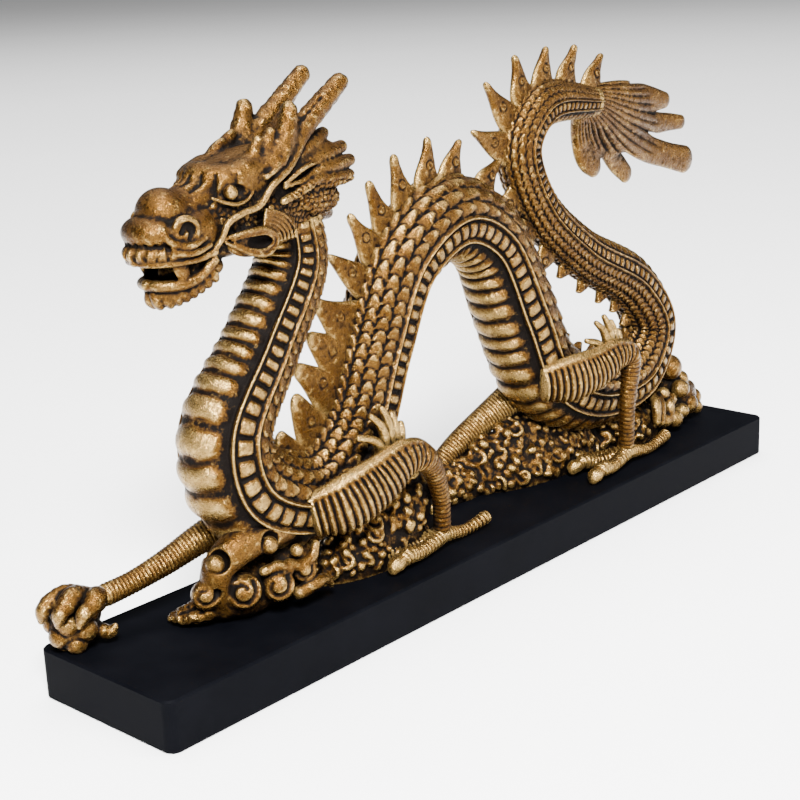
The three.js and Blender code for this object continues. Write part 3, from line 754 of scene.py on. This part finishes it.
def crackle(x, z, cell):
    """Height from 0 to 1 of small uneven scales: high in each cell, low on the lines between."""
    gx, gz = np.floor(x / cell), np.floor(z / cell)
    first = np.full(np.broadcast(x, z).shape, 9.0)
    second = first.copy()
    for i in (-1, 0, 1):
        for j in (-1, 0, 1):
            cx, cz = gx + i, gz + j
            jitter_x = np.modf(np.abs(np.sin(cx * 12.9898 + cz * 78.233) * 43758.5453))[0]
            jitter_z = np.modf(np.abs(np.sin(cx * 39.346 + cz * 11.135) * 24634.6345))[0]
            d = np.hypot(x / cell - cx - 0.15 - 0.7 * jitter_x, z / cell - cz - 0.15 - 0.7 * jitter_z)
            second = np.minimum(second, np.maximum(first, d))
            first = np.minimum(first, d)
    return smooth_step(0.02, 0.3, second - first)


def head(material):
    clay = Clay((-133, -17, 104), (-50, 17, 168), 0.36)
    skull(clay)
    nose(clay)
    for side in SIDES:
        lips_and_jaw(clay, side)
        eye_and_temple(clay, side)
        ear(clay, side)
        mane(clay, side)
        horns(clay, side)
    clay.rope([(-70, 0, 129, 7), (-64, 0, 127, 5.5), (-57, 0, 123.5, 2)], blend=1)
    make_piece("head", clay.skin(), material, share=0.63)


def skull(clay):
    """Cheeks, forehead and knurled brow, the throat and the tongue."""
    clay.ball((-96, 0, 130.5), (15, 10.6, 10.5), tilt=-0.08)
    clay.ball((-79, 0, 133), (15, 10.4, 12), blend=3)
    clay.ball((-98, 0, 125), (14, 10, 7.4), blend=3)
    clay.ball((-86, 0, 128), (9, 11.6, 7.5), blend=2)
    clay.rope([(-112, 0, 131, 6.6), (-98, 0, 133, 8.6)], blend=3)
    clay.rope([(-78, 0, 128, 9), (-72, 0, 122, 8.5)], blend=3)
    clay.rope([(-112, 0, 117, 4), (-106, 0, 120.6, 3.6), (-98, 0, 122.4, 4)], blend=1.5, flat=2)

    # small uneven scales on the cheeks
    where, x, y, z = clay.window((-114, -16, 119), (-78, 16, 138))
    mask = smooth_step(1, 0.75, np.hypot((x + 95) / 15, (z - 128.5) / 8)) * smooth_step(5, 8, np.abs(y))
    clay.field[where] += 0.6 * mask * (1 - crackle(x, z, 1.75))

    # the forehead is one broad plane that rises to the horns and ends in front in a knurled roll
    clay.ball((-91.5, 0, 140), (13, 10, 5), tilt=-0.26, blend=3)
    for side in SIDES:
        clay.ball((-91, side * 7.2, 138.6), (9, 4.4, 5.4), tilt=-0.2, blend=3)
    roll = [(-95.4, 8.4, 140.6, 3.1), (-98.8, 7.4, 139, 3.9), (-101.6, 4.4, 138.8, 4.3),
            (-102.6, 0, 138.8, 4.4)]
    for side in SIDES:
        clay.rope(roll, side, blend=2)
    where, x, y, z = clay.window((-110, -13, 133), (-96, 13, 142))
    lumps = np.abs(np.sin(0.95 * y + 0.5)) ** 0.6 * (0.75 + 0.25 * np.abs(np.sin(0.8 * z + 0.4 + y)))
    clay.field[where] += 1.5 * (0.75 - lumps) * smooth_step(141.8, 140, z) * smooth_step(-98, -100.5, x)
    clay.ball((-110, 0, 117.3), (9, 4.6, 2.7), tilt=-0.1)


def nose(clay):
    """A dome over a broad tip, hooked nostrils, and the slotted roll of the upper lip."""
    clay.ball((-117, 0, 131.8), (6.6, 7.2, 7), blend=1.8)
    clay.ball((-121.4, 0, 127.8), (6.4, 8.4, 4.8), blend=0.6)
    clay.ball((-119.4, 0, 123.4), (8.4, 8.2, 3), blend=0.6)
    wings = [
        [(-114.2, 9.8, 126.4, 0.8), (-113.6, 9.8, 128.8, 1), (-115.4, 9.5, 131, 1.1),
         (-118.4, 8.8, 131.2, 1), (-119.8, 8.5, 129.6, 0.8)],
        [(-122.8, 7.6, 129.4, 0.6), (-122.2, 8.2, 126.8, 1), (-119.4, 9.3, 125, 1.1),
         (-115.4, 10.1, 124.6, 1), (-111.5, 10.2, 126, 0.8)],
        [(-122.6, 8, 124.6, 0.8), (-119, 9.4, 122.9, 1), (-114.4, 10.2, 122.6, 0.9),
         (-110, 10.3, 123.8, 0.7)],
    ]
    hole = [(-118.6, 9.6, 128.2, 0.8), (-116.8, 10, 129.6, 1.2), (-115.6, 10.3, 128.2, 1.2),
            (-116.4, 10.2, 126.6, 0.8)]
    for side in SIDES:
        clay.ball((-116.5, side * 7.4, 127.8), (4.6, 3, 3.6), blend=0.8)
        clay.ball((-110.5, side * 7.4, 127), (5.5, 3.2, 4.8), blend=2)
        for wing in wings:
            clay.rope(wing, side, blend=0.35)
        clay.rope(hole, side, cut=True, blend=0.2)
    roll = [(-113, -8.2, 123, 1.6), (-122, -7, 122.8, 1.8), (-127.2, 0, 122.8, 1.8), (-122, 7, 122.8, 1.8),
            (-113, 8.2, 123, 1.6)]
    clay.rope(roll, blend=0.6)
    groove = ((8.2, 125.6, 0.5), (9.9, 124.2, 0.95), (10.1, 122.6, 0.9), (9.2, 121.4, 0.5))
    for i in range(8):
        angle = math.radians(-66.5 + 19 * i)
        slot = []
        for reach, z, radius in groove:
            slot.append((-118.6 - reach * math.cos(angle), 0.96 * reach * math.sin(angle), z, radius))
        clay.rope(slot, cut=True, blend=0.2)


def lips_and_jaw(clay, side):
    """Rim of the upper lip, the jaw, the lower lip, a fang and the ruffled beard under them."""
    rim = [(-127, 0, 120.8, 0.9), (-125, 4.8, 120.5, 0.9), (-120, 8.1, 120.4, 0.9), (-113, 9.4, 120.6, 0.9),
           (-108.2, 9.8, 121.6, 1)]
    clay.rope(rim, side, blend=0.5)
    if side == SIDES[0]:  # the chin lies in the middle and is made once
        clay.ball((-114.6, 0, 112.2), (8.4, 7, 4), tilt=-0.06)
        clay.ball((-106, 0, 116.6), (6, 7.6, 3.6), blend=1)
    lip = [(-123.4, 0, 114.4, 1.5), (-121.4, 4.4, 114.2, 1.5), (-116.8, 7, 114.4, 1.5), (-112, 8.4, 116, 1.4),
           (-108.2, 9.4, 119.4, 1.2)]
    clay.rope(lip, side, blend=0.5)
    fang = [(-118.4, 6.8, 121, 2), (-117.6, 7.1, 118.4, 2.2), (-116.4, 7.1, 115.4, 1.7)]
    clay.rope(fang, side, blend=0.2, flat=0.6)
    for i in range(8):
        share = i / 7
        x = -121.6 + 12.8 * share
        y = 1.2 + 7.4 * share**0.7
        z = 109.2 + 5.8 * share**1.6
        curl = [(x - 0.6, 0.82 * y, z + 2.6, 1.3), (x, y + 0.3, z + 0.7, 1.6),
                (x + 0.9, y + 0.1, z - 0.6, 1.2)]
        clay.rope(curl, side, blend=0.25)


def eye_and_temple(clay, side):
    """An eyeball in its socket, the lid under it, two slots on the temple, and the barbel."""
    clay.ball((-101.2, side * 11.6, 136), (4.4, 2.8, 2.3), tilt=0.1, cut=True, blend=0.4)
    clay.ball((-101.7, side * 10, 136.1), 2)
    lid = [(-107, 8.8, 135.2, 0.45), (-104, 10.2, 133.8, 0.55), (-100.8, 11, 132.9, 0.6),
           (-97.2, 11.2, 133.6, 0.5), (-94.8, 11.2, 135.4, 0.4)]
    clay.rope(lid, side, blend=0.3)
    for slot in (
        [(-92, 12.2, 140, 0.5), (-89.2, 12.2, 141.2, 1.2), (-86.4, 12, 142.8, 0.6)],
        [(-85.2, 12, 143, 0.5), (-84, 11.8, 144.6, 1.1), (-83, 11.6, 146.2, 0.5)],
    ):
        edge = [(x + 1.2, y, z - 1.2, 0.8) for x, y, z, _ in slot]
        clay.rope(edge, side, blend=0.4)
        clay.rope(slot, side, cut=True, blend=0.2)
    barbel = [(-109, 9.8, 121.4, 0.7), (-106.4, 11, 125, 0.8), (-104.5, 11.6, 128.6, 0.9),
              (-99.5, 12.2, 130.6, 0.9), (-94, 12.6, 131.8, 0.9), (-89.5, 12.6, 136, 0.9),
              (-82, 11.8, 140, 1), (-76, 10.4, 145, 1.1), (-72, 9, 149, 1.1)]
    clay.rope(barbel, side, blend=0.3)


def ear(clay, side):
    """A drop with a double rim round a dark hollow, and curved locks fanned out behind it."""
    clay.ball((-96, side * 10.4, 122.2), (8.4, 2.1, 3.9), tilt=0.05, blend=0.6)
    clay.ball((-94.3, side * 12.9, 122), (4.9, 2.3, 2.2), tilt=0.12, cut=True, blend=0.2)
    outer = [(-105.8, 11, 124.6, 0.5), (-99, 12.4, 125.4, 0.8), (-92.6, 12.8, 125.2, 0.9),
             (-88.8, 12.6, 122.2, 0.9), (-91.5, 12.6, 119, 0.9), (-97, 12.4, 119.4, 0.8),
             (-105.4, 11.2, 123.6, 0.5)]
    inner = [(-103.6, 11.6, 124, 0.35), (-97.5, 12.8, 124.4, 0.4), (-92.4, 13.1, 124, 0.45),
             (-90.2, 13, 122.1, 0.45), (-92.4, 13, 120.2, 0.45), (-97.5, 12.8, 120.6, 0.4),
             (-103, 11.8, 123.2, 0.35)]
    clay.rope(outer, side, blend=0.2)
    clay.rope(inner, side, blend=0.2)
    clay.ball((-84.5, side * 9.4, 124.4), (5.4, 2.6, 4.6), blend=1)
    for i in range(5):
        reach = 7.2 + 1.5 * i
        lock = []
        for turn in (1.35, 1.0, 0.65, 0.3, 0.0):
            x = -94.2 + reach * math.cos(turn)
            lock.append((x, 12.3 - 0.1 * i, 121.6 + 0.66 * reach * math.sin(turn), 0.55))
        clay.rope(lock, side, blend=0.2)


def mane(clay, side):
    """Blunt ringed locks joined by a web, a hollow leaf, and a pouch of fine scales below them."""
    clay.ball((-69.5, side * 7.6, 139.4), (10.5, 3.2, 6.4), tilt=-0.2, blend=1)
    for x, y, z in MANE_TIPS:
        root = (-80, 8.4, 0.5 * z + 67.5, 2.6)
        middle = (0.5 * (x - 74), y + 1.2, 0.85 * z + 20, 2.5)
        clay.rope([root, middle, (x - 1, y, z - 0.2, 1.9)], side, blend=0.4, rib=1.7, depth=0.08)
    clay.ball((-76, side * 11.6, 137.6), (6.6, 1.9, 1.1), tilt=-0.3, cut=True, blend=0.3)
    for lift in (1.7, -1.5):
        rim = [(-83, 11, 135.4 + 0.3 * lift, 0.7), (-76, 11.4, 137.6 + lift, 0.8),
               (-69, 10.6, 139.8 + 0.3 * lift, 0.7)]
        clay.rope(rim, side, blend=0.25)
    band = [(-85, 11.8, 131.4, 1.1), (-78, 12.2, 133.4, 1.4), (-70, 11.8, 136, 1.4), (-61, 10.4, 135.6, 1.1)]
    clay.rope(band, side, blend=0.25, rib=1.5, depth=0.2)

    clay.ball((-70.5, side * 8.2, 130.6), (10.5, 4, 5.2), tilt=0.16, blend=0.6)
    near, far = sorted((side * 6, side * 15))
    where, x, _, z = clay.window((-84, near, 123), (-56, far, 135.4))
    fade = smooth_step(-84, -81, x) * smooth_step(135.4, 134.6, z)
    clay.field[where] += 0.55 * fade * (1 - crackle(x, z, 1.7))


def horns(clay, side):
    """A long horn, the prong in front of it, and the tufts on the forehead."""
    lift = 0.9 * (side + 1)
    horn = [(-84, 7, 141, 4.4), (-75, 7.4, 147.5 + 0.3 * lift, 3.6), (-65, 7.4, 154.5 + 0.6 * lift, 3.1),
            (-56.8, 7.4, 160.2 + lift, 2.6)]
    clay.rope(horn, side, blend=0.8)
    for turn in range(3):
        angle = 2 * math.pi * turn / 3 + 0.5
        groove = []
        for x, y, z, radius in horn[1:-1]:
            away = 1.05 * radius
            groove.append((x, y + away * math.sin(angle), z + away * math.cos(angle), 0.35))
        clay.rope(groove, side, cut=True, blend=0.6)
    prong = [(-86.5, 8, 141, 4.2), (-81, 8.6, 146.6, 3.3), (-78.8, 8.8, 151.4, 2.8), (-78, 8.8, 154.8, 2.4)]
    clay.rope(prong, side, blend=1.5)
    near, far = sorted((side * 3, side * 13))
    clay.roughen((-88, near, 146), (-52, far, 168), 0.12, 3.4)
    near_tufts = ((-91, 7.4, 143.6, 4.6), (-86.8, 8, 145, 5))
    far_tufts = ((-91.5, 6.4, 144.4, 2.4), (-87, 7.2, 146, 2.6))
    for x, y, z, length in near_tufts if side < 0 else far_tufts:
        tuft = [(x - 2.4, y - 0.6, z - 2.6, 2.4), (x, y, z, 2.2), (x + 1.2, y, z + 0.5 * length, 1.8),
                (x + 2.4, y, z + 0.9 * length, 1.4)]
        clay.rope(tuft, side, blend=0.8)


# ---------------------------------------- clouds and foam
SCROLLS = [
    {"at": (-114, -2, 25.5), "radius": 4.2, "turns": 0.9},
    {"at": (-105, -7.5, 25), "radius": 5.2, "turns": 1.0},
    {"at": (-95.5, -11.5, 24.5), "radius": 4.8, "turns": 0.7},
    {"at": (-86.5, -13, 26.5), "radius": 3.6, "turns": 0.8},
    {"at": (-97, 13, 24.5), "radius": 4.4, "turns": 0.9},
    {"at": (-87, 14, 25), "radius": 4.4, "turns": 0.9},
]
CLOUD_EYES = [(-97.5, -11, 37.2, 2.6), (-112, -4.6, 34.6, 2.7), (-88.5, -12.5, 33, 1.9)]
RIBBONS = [
    [(-92, 12.6, 30, 1.6), (-88, 13.4, 28.5, 1.8), (-84, 14, 30, 1.6), (-82, 13.6, 33, 1.2)],
    [(-90, 14.4, 21, 2), (-84, 15.4, 22.4, 2), (-79.5, 14.6, 21.6, 1.5), (-77.5, 14.6, 19.4, 1)],
    [(-100, 11, 30, 1.4), (-95, 12.4, 30.4, 1.6), (-92, 13, 28, 1.2)],
]

# Heap of balls under the rear bend: its core, as centres and half sizes, and the balls on it.
CLOUD_CORE = [((121, 1, 30), (7, 7, 9)), ((127, 1, 24), (12, 10, 8)), ((110, 1, 24), (9, 11, 8))]
PUFFS = [
    (119, -4, 38, 5), (126.5, -4, 31.5, 3.6), (133, -3.5, 26.5, 3.2), (139.5, -2, 21, 3.6),
    (120, -8.5, 30, 3.6), (113, -8.5, 27.5, 2.6), (106.5, -9.5, 31.5, 2.4), (101, -10.5, 29.5, 2.2),
    (104, -12, 22, 2.6), (112, -11, 20.5, 3.4), (119.5, -9.5, 21.5, 3), (127.5, -7, 22, 4.2),
    (134.5, -6.5, 19, 2.8), (119, 6, 37, 4.2), (127, 5, 31, 4), (134, 5, 25, 3.6),
    (140.5, 5, 19.5, 3.2), (112, 12, 29, 4), (106, 14, 23, 3.2), (115, 13, 22, 3.8),
    (124, 12, 22.5, 3.2), (132, 10, 20.5, 3.6),
]

# Centres and half sizes of the mounds of foam.
FOAM_MOUNDS = [
    ((50, 7, 17), (34, 15, 17)), ((-50, -5, 17), (24, 11, 17)), ((94, 2, 18), (24, 13, 14)),
    ((15, 12, 16), (27, 9, 13)), ((-40, -8, 24), (10, 8, 15)), ((-33.5, -9, 31), (8, 6, 10.5)),
    ((42, 7, 24), (20, 9, 16)), ((25, 10, 21), (12, 7, 14)),
]
BUBBLE_SKIN = 1.6  # depth of the bubbles on a mound

BALL_CENTRE = (-143.2, 19.4, DECK + 6.4)
BALL_RADIUS = 8.2
BALL_BUMPS = 15
DIGITS = [
    [(-139, 19.5, 28.5, 2.8), (-145, 19.8, 30.6, 3), (-149.6, 20.8, 29.4, 2.7)],
    [(-139.5, 17.5, 29, 2.8), (-145, 16, 31, 3.1), (-148.8, 14.8, 29.6, 2.7)],
    [(-138, 15, 28.5, 2.8), (-140, 12.6, 30, 3.1), (-143, 11, 28.6, 2.7)],
]
CLAW_TIPS = [(-152.2, 21.4, 25), (-151.6, 14.4, 25.4), (-147.6, 10.4, 25)]


def flat_foot(clay):
    """Cuts the clay off flat at the plinth's top."""
    heights = clay.low[2] + clay.pitch * np.arange(clay.count[2])
    clay.field = np.maximum(clay.field, (DECK - heights)[None, None, :].astype(np.float32))


def on_ball(z, turn):
    """A point of the unit ball at a height and a turn about Z."""
    ring = math.sqrt(1 - z * z)
    return np.array([ring * math.cos(turn), ring * math.sin(turn), z])


def scroll(clay, at, radius, turns):
    """A dome with a spiral groove that winds into its middle and grows narrower."""
    away = unit(np.array([-0.68, math.copysign(0.68, at[1]), 0.28]))
    across = unit(np.array([-away[1], away[0], 0.0]))
    up = np.cross(away, across) * math.copysign(1, away[1])
    clay.ball(at, radius, blend=0.8)
    stations = []
    for share in np.arange(16) / 15:
        angle = 2 * math.pi * turns * share - 0.6
        reach = radius * (0.86 - 0.5 * share)
        lift = math.sqrt(max(radius**2 - reach**2, 0))
        spot = np.array(at) + across * math.cos(angle) * reach + up * math.sin(angle) * reach + away * lift
        stations.append((*spot, radius * (0.27 - 0.15 * share)))
    clay.rope(stations, cut=True, blend=0.5, step=0.5)


def front_clouds(material):
    """Rolled clouds under the chest, with scrolls, ribbons, and bulging eyes in their sockets."""
    clay = Clay((-126, -20, DECK - 0.4), (-66, 20, 46), 0.36)
    clay.ball((-99, 0, 22), (13, 10, 8), blend=1)
    clay.ball((-86, 0, 24), (14, 11, 10), blend=2)
    near_roll = [(-88, -8, 38, 3.4), (-97, -8, 39, 4.6), (-105, -6, 37.5, 5.2), (-110.5, -4, 32.5, 4.6),
                 (-110, -2, 25, 5)]
    clay.rope(near_roll, blend=1.5)
    clay.rope([(-86, 9, 36, 4), (-93, 9, 33, 4.6), (-96, 8, 28, 5)], blend=1.5)
    clay.rope([(-108, 0, 20.5, 5), (-113, 4.5, 18.4, 3.2), (-117, 9, 16.6, 1.6)], blend=2)
    clay.rope([(-113, -1, 19.5, 2.4), (-117, 2.5, 18, 1.4), (-118.5, 7, 17.2, 1)], blend=1)
    clay.roughen((-121, -3, 15), (-111, 12, 22), 0.25, 3)
    for entry in SCROLLS:
        scroll(clay, **entry)
    for x, y, z, radius in CLOUD_EYES:
        away = np.array([-0.62, math.copysign(0.72, y), 0.25])
        socket = np.array([x, y, z]) + 0.9 * radius * away + np.array([0.4 * radius, 0, 0.25 * radius])
        clay.ball(socket, 1.25 * radius, cut=True, blend=0.8)
        clay.ball(np.array([x, y, z]) + 0.3 * radius * away, radius, blend=0.2)
    for side in SIDES:
        for ribbon in RIBBONS:
            clay.rope(ribbon, side, blend=0.5)
    flat_foot(clay)
    make_piece("front_clouds", clay.skin(), material, share=0.5)


def rear_clouds(material):
    clay = Clay((92, -20, DECK - 0.4), (148, 22, 48), 0.42)
    for centre, radii in CLOUD_CORE:
        clay.ball(centre, radii, blend=1)
    for x, y, z, radius in PUFFS:
        clay.ball((x, y, z), radius, blend=0.35)
    for x, z in ((98, 27), (101, 26), (107, 25)):
        nub = [(x + 3, 9, z + 4, 1.8), (x, 12, z + 2.4, 1.9), (x - 1, 13, z - 3.4, 1.5)]
        for side in SIDES:
            clay.rope(nub, side, blend=0.4)
    flat_foot(clay)
    make_piece("rear_clouds", clay.skin(), material, share=0.5)


def foam_mounds(material):
    """Heaps of small uneven bubbles, with a curl on every fourteenth."""
    rng = np.random.default_rng(7)
    clay = Clay((-78, -24, DECK - 0.4), (122, 26, 42), 0.46)
    for centre, radii in FOAM_MOUNDS:
        inner = np.array(radii) - BUBBLE_SKIN
        clay.ball(centre, inner - 0.2, blend=1)
        count = radii[0] * radii[1]
        for i in range(count):
            out = on_ball((i + 0.5) / count, GOLDEN_ANGLE * i + rng.uniform(-0.25, 0.25))
            spot = np.array(centre) + out * (inner + rng.uniform(-1, 0.3))
            size = rng.uniform(0.9, 1.9)
            clay.ball(spot, size * rng.uniform(0.75, 1.3, 3), tilt=rng.uniform(-1, 1), blend=0.15)
            if i % 14 == 4:
                swing = unit(np.cross(out, rng.normal(size=3)))
                rise = np.cross(out, swing)
                curl = []
                for k in range(6):
                    angle = 1.1 * k
                    reach = 3 - 0.35 * k
                    point = spot + 0.5 * out + reach * (swing * math.cos(angle) + rise * math.sin(angle))
                    curl.append((*point, 0.8))
                clay.rope(curl, blend=0.3, step=0.6)
    flat_foot(clay)
    make_piece("foam_mounds", clay.skin(), material, share=0.42)


def gripped_ball(material):
    """The ball of round bumps under the far front claw, with the claws that grip it."""
    clay = Clay((-157, 3, DECK - 0.4), (-122, 31, 37), 0.36)
    clay.ball(BALL_CENTRE, BALL_RADIUS - 1.4)
    for i in range(BALL_BUMPS):
        out = on_ball(1 - 2 * (i + 0.5) / BALL_BUMPS, GOLDEN_ANGLE * i + 0.5)
        clay.ball(np.array(BALL_CENTRE) + out * (BALL_RADIUS - 2.8), 3.2, blend=0.1)
    clay.ball((-138, 17.6, 27), (4.6, 4.4, 3.8), blend=0.5)
    for digit, tip in zip(DIGITS, CLAW_TIPS):
        clay.rope(digit, blend=0.1, rib=1.8, depth=0.08)
        last = np.array(digit[-1][:3])
        middle = last + 0.5 * (np.array(tip) - last) + np.array([-0.6, -0.3, 0.9])
        clay.rope([(*last, 2.2), (*middle, 2.2), (*tip, 0.9)], blend=0.05)
    thumb = [(-138.5, 14, 19.5, 2.2), (-136.4, 12.4, 18.6, 1.8), (-135.4, 11.4, 20.4, 0.9)]
    clay.rope(thumb, blend=0.3, rib=1.3, depth=0.12)
    flat_foot(clay)
    make_piece("gripped_ball", clay.skin(), material, share=0.6)


# ---------------------------------------- materials
WASH = (0.0016, 0.0009, 0.0005, 1)
DARK_GOLD = (0.05, 0.021, 0.0036, 1)
WARM_GOLD = (0.088, 0.042, 0.0088, 1)
# colour of the painted highlight on the crests
PAINTED_HIGHLIGHT_GOLD = (0.48, 0.315, 0.1, 1)
BLACK = (0.0008, 0.0009, 0.0014, 1)
RUBBED_BLACK = (0.0016, 0.0017, 0.0024, 1)
PALE_GREY = (0.9, 0.9, 0.9, 1)
NEAR_WHITE = (0.92, 0.92, 0.92, 1)


class Paint:
    """A material under construction. Each method adds a node and gives back what comes out of it."""

    def __init__(self, name):
        self.material = bpy.data.materials.new(name)
        self.material.use_nodes = True
        self.tree = self.material.node_tree
        self.tree.nodes.clear()
        self.shader = self.tree.nodes.new("ShaderNodeBsdfPrincipled")
        output = self.tree.nodes.new("ShaderNodeOutputMaterial")
        self.tree.links.new(self.shader.outputs["BSDF"], output.inputs["Surface"])
        self.place = self.tree.nodes.new("ShaderNodeTexCoord").outputs["Object"]

    def node(self, kind, output, settings, inputs):
        made = self.tree.nodes.new("ShaderNode" + kind)
        for key, value in settings.items():
            setattr(made, key, value)
        for key, value in inputs.items():
            if isinstance(value, bpy.types.NodeSocket):
                self.tree.links.new(value, made.inputs[key])
            else:
                made.inputs[key].default_value = value
        return made.outputs[output]

    def attribute(self, name):
        return self.node("Attribute", "Fac", {"attribute_name": name}, {})

    def crevice(self, distance):
        """How open the surface is to its surroundings, from 0 to 1, within a distance in metres."""
        return self.node("AmbientOcclusion", "AO", {"samples": 12}, {"Distance": distance})

    def noise(self, scale, detail=3.0, roughness=0.6):
        inputs = {"Vector": self.place, "Scale": scale, "Detail": detail, "Roughness": roughness}
        return self.node("TexNoise", "Fac", {}, inputs)

    def mapped(self, value, low, high, to_low=0.0, to_high=1.0):
        inputs = {"Value": value, "From Min": low, "From Max": high, "To Min": to_low, "To Max": to_high}
        return self.node("MapRange", "Result", {}, inputs)

    def sum(self, a, b):
        return self.node("Math", 0, {"operation": "ADD"}, {0: a, 1: b})

    def product(self, a, b):
        return self.node("Math", 0, {"operation": "MULTIPLY"}, {0: a, 1: b})

    def mixed(self, share, first, second):
        """A mix of two colours. Sockets 0, 6 and 7 of its node are the factor and the colours."""
        return self.node("Mix", 2, {"data_type": "RGBA"}, {0: share, 6: first, 7: second})

    def finish(self, colour, roughness, specular):
        for key, value in (("Base Color", colour), ("Roughness", roughness)):
            self.tree.links.new(value, self.shader.inputs[key])
        self.shader.inputs["Specular IOR Level"].default_value = specular

    def bump(self, height, strength, distance):
        inputs = {"Height": height, "Strength": strength, "Distance": distance}
        normal = self.node("Bump", "Normal", {}, inputs)
        self.tree.links.new(normal, self.shader.inputs["Normal"])


def antique_gold():
    """Gold rubbed on the high places with a painted highlight, a brighter gold, on the crests, and
    black-brown wash in the hollows.
    """
    paint = Paint("antique_gold")
    fine, hollow = paint.attribute("relief"), paint.attribute("hollow")
    patches = paint.noise(90)
    blotches = paint.noise(520, 5, 0.75)
    specks = paint.noise(1500, 3, 0.7)

    height = paint.mapped(hollow, -0.45, 0.45)
    height = paint.sum(height, paint.mapped(paint.crevice(0.006), 0.35, 0.95, -0.6, 0.1))
    height = paint.sum(height, paint.mapped(blotches, 0.32, 0.68, -0.4, 0.4))
    gilt = paint.product(paint.mapped(height, 0.25, 0.75), paint.mapped(fine, -0.16, 0.0))
    gilt = paint.product(gilt, paint.mapped(specks, 0.36, 0.43, 0.2, 1.0))

    gold = paint.mixed(paint.mapped(patches, 0.35, 0.65), DARK_GOLD, WARM_GOLD)
    # brighter gold where the broad relief stands high is a painted highlight; the blotches add uneven rubbed
    # gold
    rubbed_gold_and_highlight = paint.sum(paint.mapped(hollow, 0.1, 0.7, 0, 0.5), paint.mapped(blotches, 0.5, 0.75, 0, 0.6))
    gold = paint.mixed(paint.mapped(rubbed_gold_and_highlight, 0.2, 1), gold, PAINTED_HIGHLIGHT_GOLD)
    rough = paint.sum(paint.mapped(gilt, 0, 1, 0.6, 0.21), paint.mapped(blotches, 0.3, 0.7, 0.1, -0.02))
    paint.finish(paint.mixed(gilt, WASH, gold), rough, 0.04)
    paint.tree.links.new(paint.mapped(gilt, 0, 1, 0.0, 0.97), paint.shader.inputs["Metallic"])
    paint.bump(paint.sum(specks, paint.product(blotches, 2)), 0.6, 0.0003)
    return paint.material


def black_paint():
    """Satin black paint over wood, a little uneven."""
    paint = Paint("black_paint")
    patches = paint.noise(60)
    colour = paint.mixed(paint.mapped(patches, 0.3, 0.7), BLACK, RUBBED_BLACK)
    paint.finish(colour, paint.mapped(patches, 0.3, 0.7, 0.5, 0.6), 0.01)
    paint.bump(paint.noise(1400, 4), 0.25, 0.0001)
    return paint.material


def floor_paint():
    paint = Paint("floor")
    colour = paint.mixed(paint.mapped(paint.noise(3), 0.3, 0.7), PALE_GREY, NEAR_WHITE)
    paint.tree.links.new(colour, paint.shader.inputs["Base Color"])
    paint.shader.inputs["Roughness"].default_value = 0.8
    return paint.material


# ---------------------------------------- stage, light and camera
CAMERA_PLACE = (-0.36636, -0.30860, 0.19496)  # metres
CAMERA_AZIMUTH = math.radians(-47.55)
CAMERA_ELEVATION = math.radians(16.38)
CAMERA_ROLL = math.radians(-2.31)
CAMERA_LENS = 69.1
FLOOR_REACH = 14.0  # metres


def camera():
    """A camera at the place and angle from which the photograph was taken."""
    data = bpy.data.cameras.new("camera")
    data.lens = CAMERA_LENS
    data.clip_start = 0.01
    made = bpy.data.objects.new("camera", data)
    turn = Matrix.Rotation(CAMERA_AZIMUTH, 4, "Z") @ Matrix.Rotation(math.pi / 2 - CAMERA_ELEVATION, 4, "X")
    made.matrix_world = Matrix.Translation(CAMERA_PLACE) @ turn @ Matrix.Rotation(CAMERA_ROLL, 4, "Z")
    bpy.context.scene.collection.objects.link(made)
    bpy.context.scene.camera = made


def area_light(name, place, target, size, energy):
    data = bpy.data.lights.new(name, "AREA")
    data.size = size
    data.energy = energy
    made = bpy.data.objects.new(name, data)
    made.location = place
    made.rotation_euler = (Vector(target) - Vector(place)).to_track_quat("-Z", "Y").to_euler()
    bpy.context.scene.collection.objects.link(made)


def stage():
    """A plain pale floor under soft white light."""
    mesh = bpy.data.meshes.new("floor")
    corners = [(x * FLOOR_REACH, y * FLOOR_REACH, 0) for x, y in ((-1, -1), (1, -1), (1, 1), (-1, 1))]
    mesh.from_pydata(corners, [], [(0, 1, 2, 3)])
    mesh.materials.append(floor_paint())
    floor = bpy.data.objects.new("floor", mesh)
    bpy.context.scene.collection.objects.link(floor)
    world = bpy.data.worlds.new("studio")
    world.use_nodes = True
    background = world.node_tree.nodes["Background"]
    background.inputs["Color"].default_value = (1.0, 1.0, 1.0, 1)
    background.inputs["Strength"].default_value = 0.3
    bpy.context.scene.world = world
    area_light("key", (-0.55, -0.55, 0.75), (-0.02, 0, 0.08), size=0.28, energy=75)
    area_light("top", (0.3, 0.5, 3.2), (0.1, 0.2, 0.05), size=2.4, energy=250)
    area_light("rim", (0.5, -0.7, 0.35), (0, 0, 0.08), size=0.3, energy=10)


camera()
stage()
gold = antique_gold()
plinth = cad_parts["plinth"]
plinth.data.materials.clear()
plinth.data.materials.append(black_paint())
for build in (body_pieces, fins, tail_fan, legs, head, front_clouds, rear_clouds, foam_mounds, gripped_ball):
    build(gold)
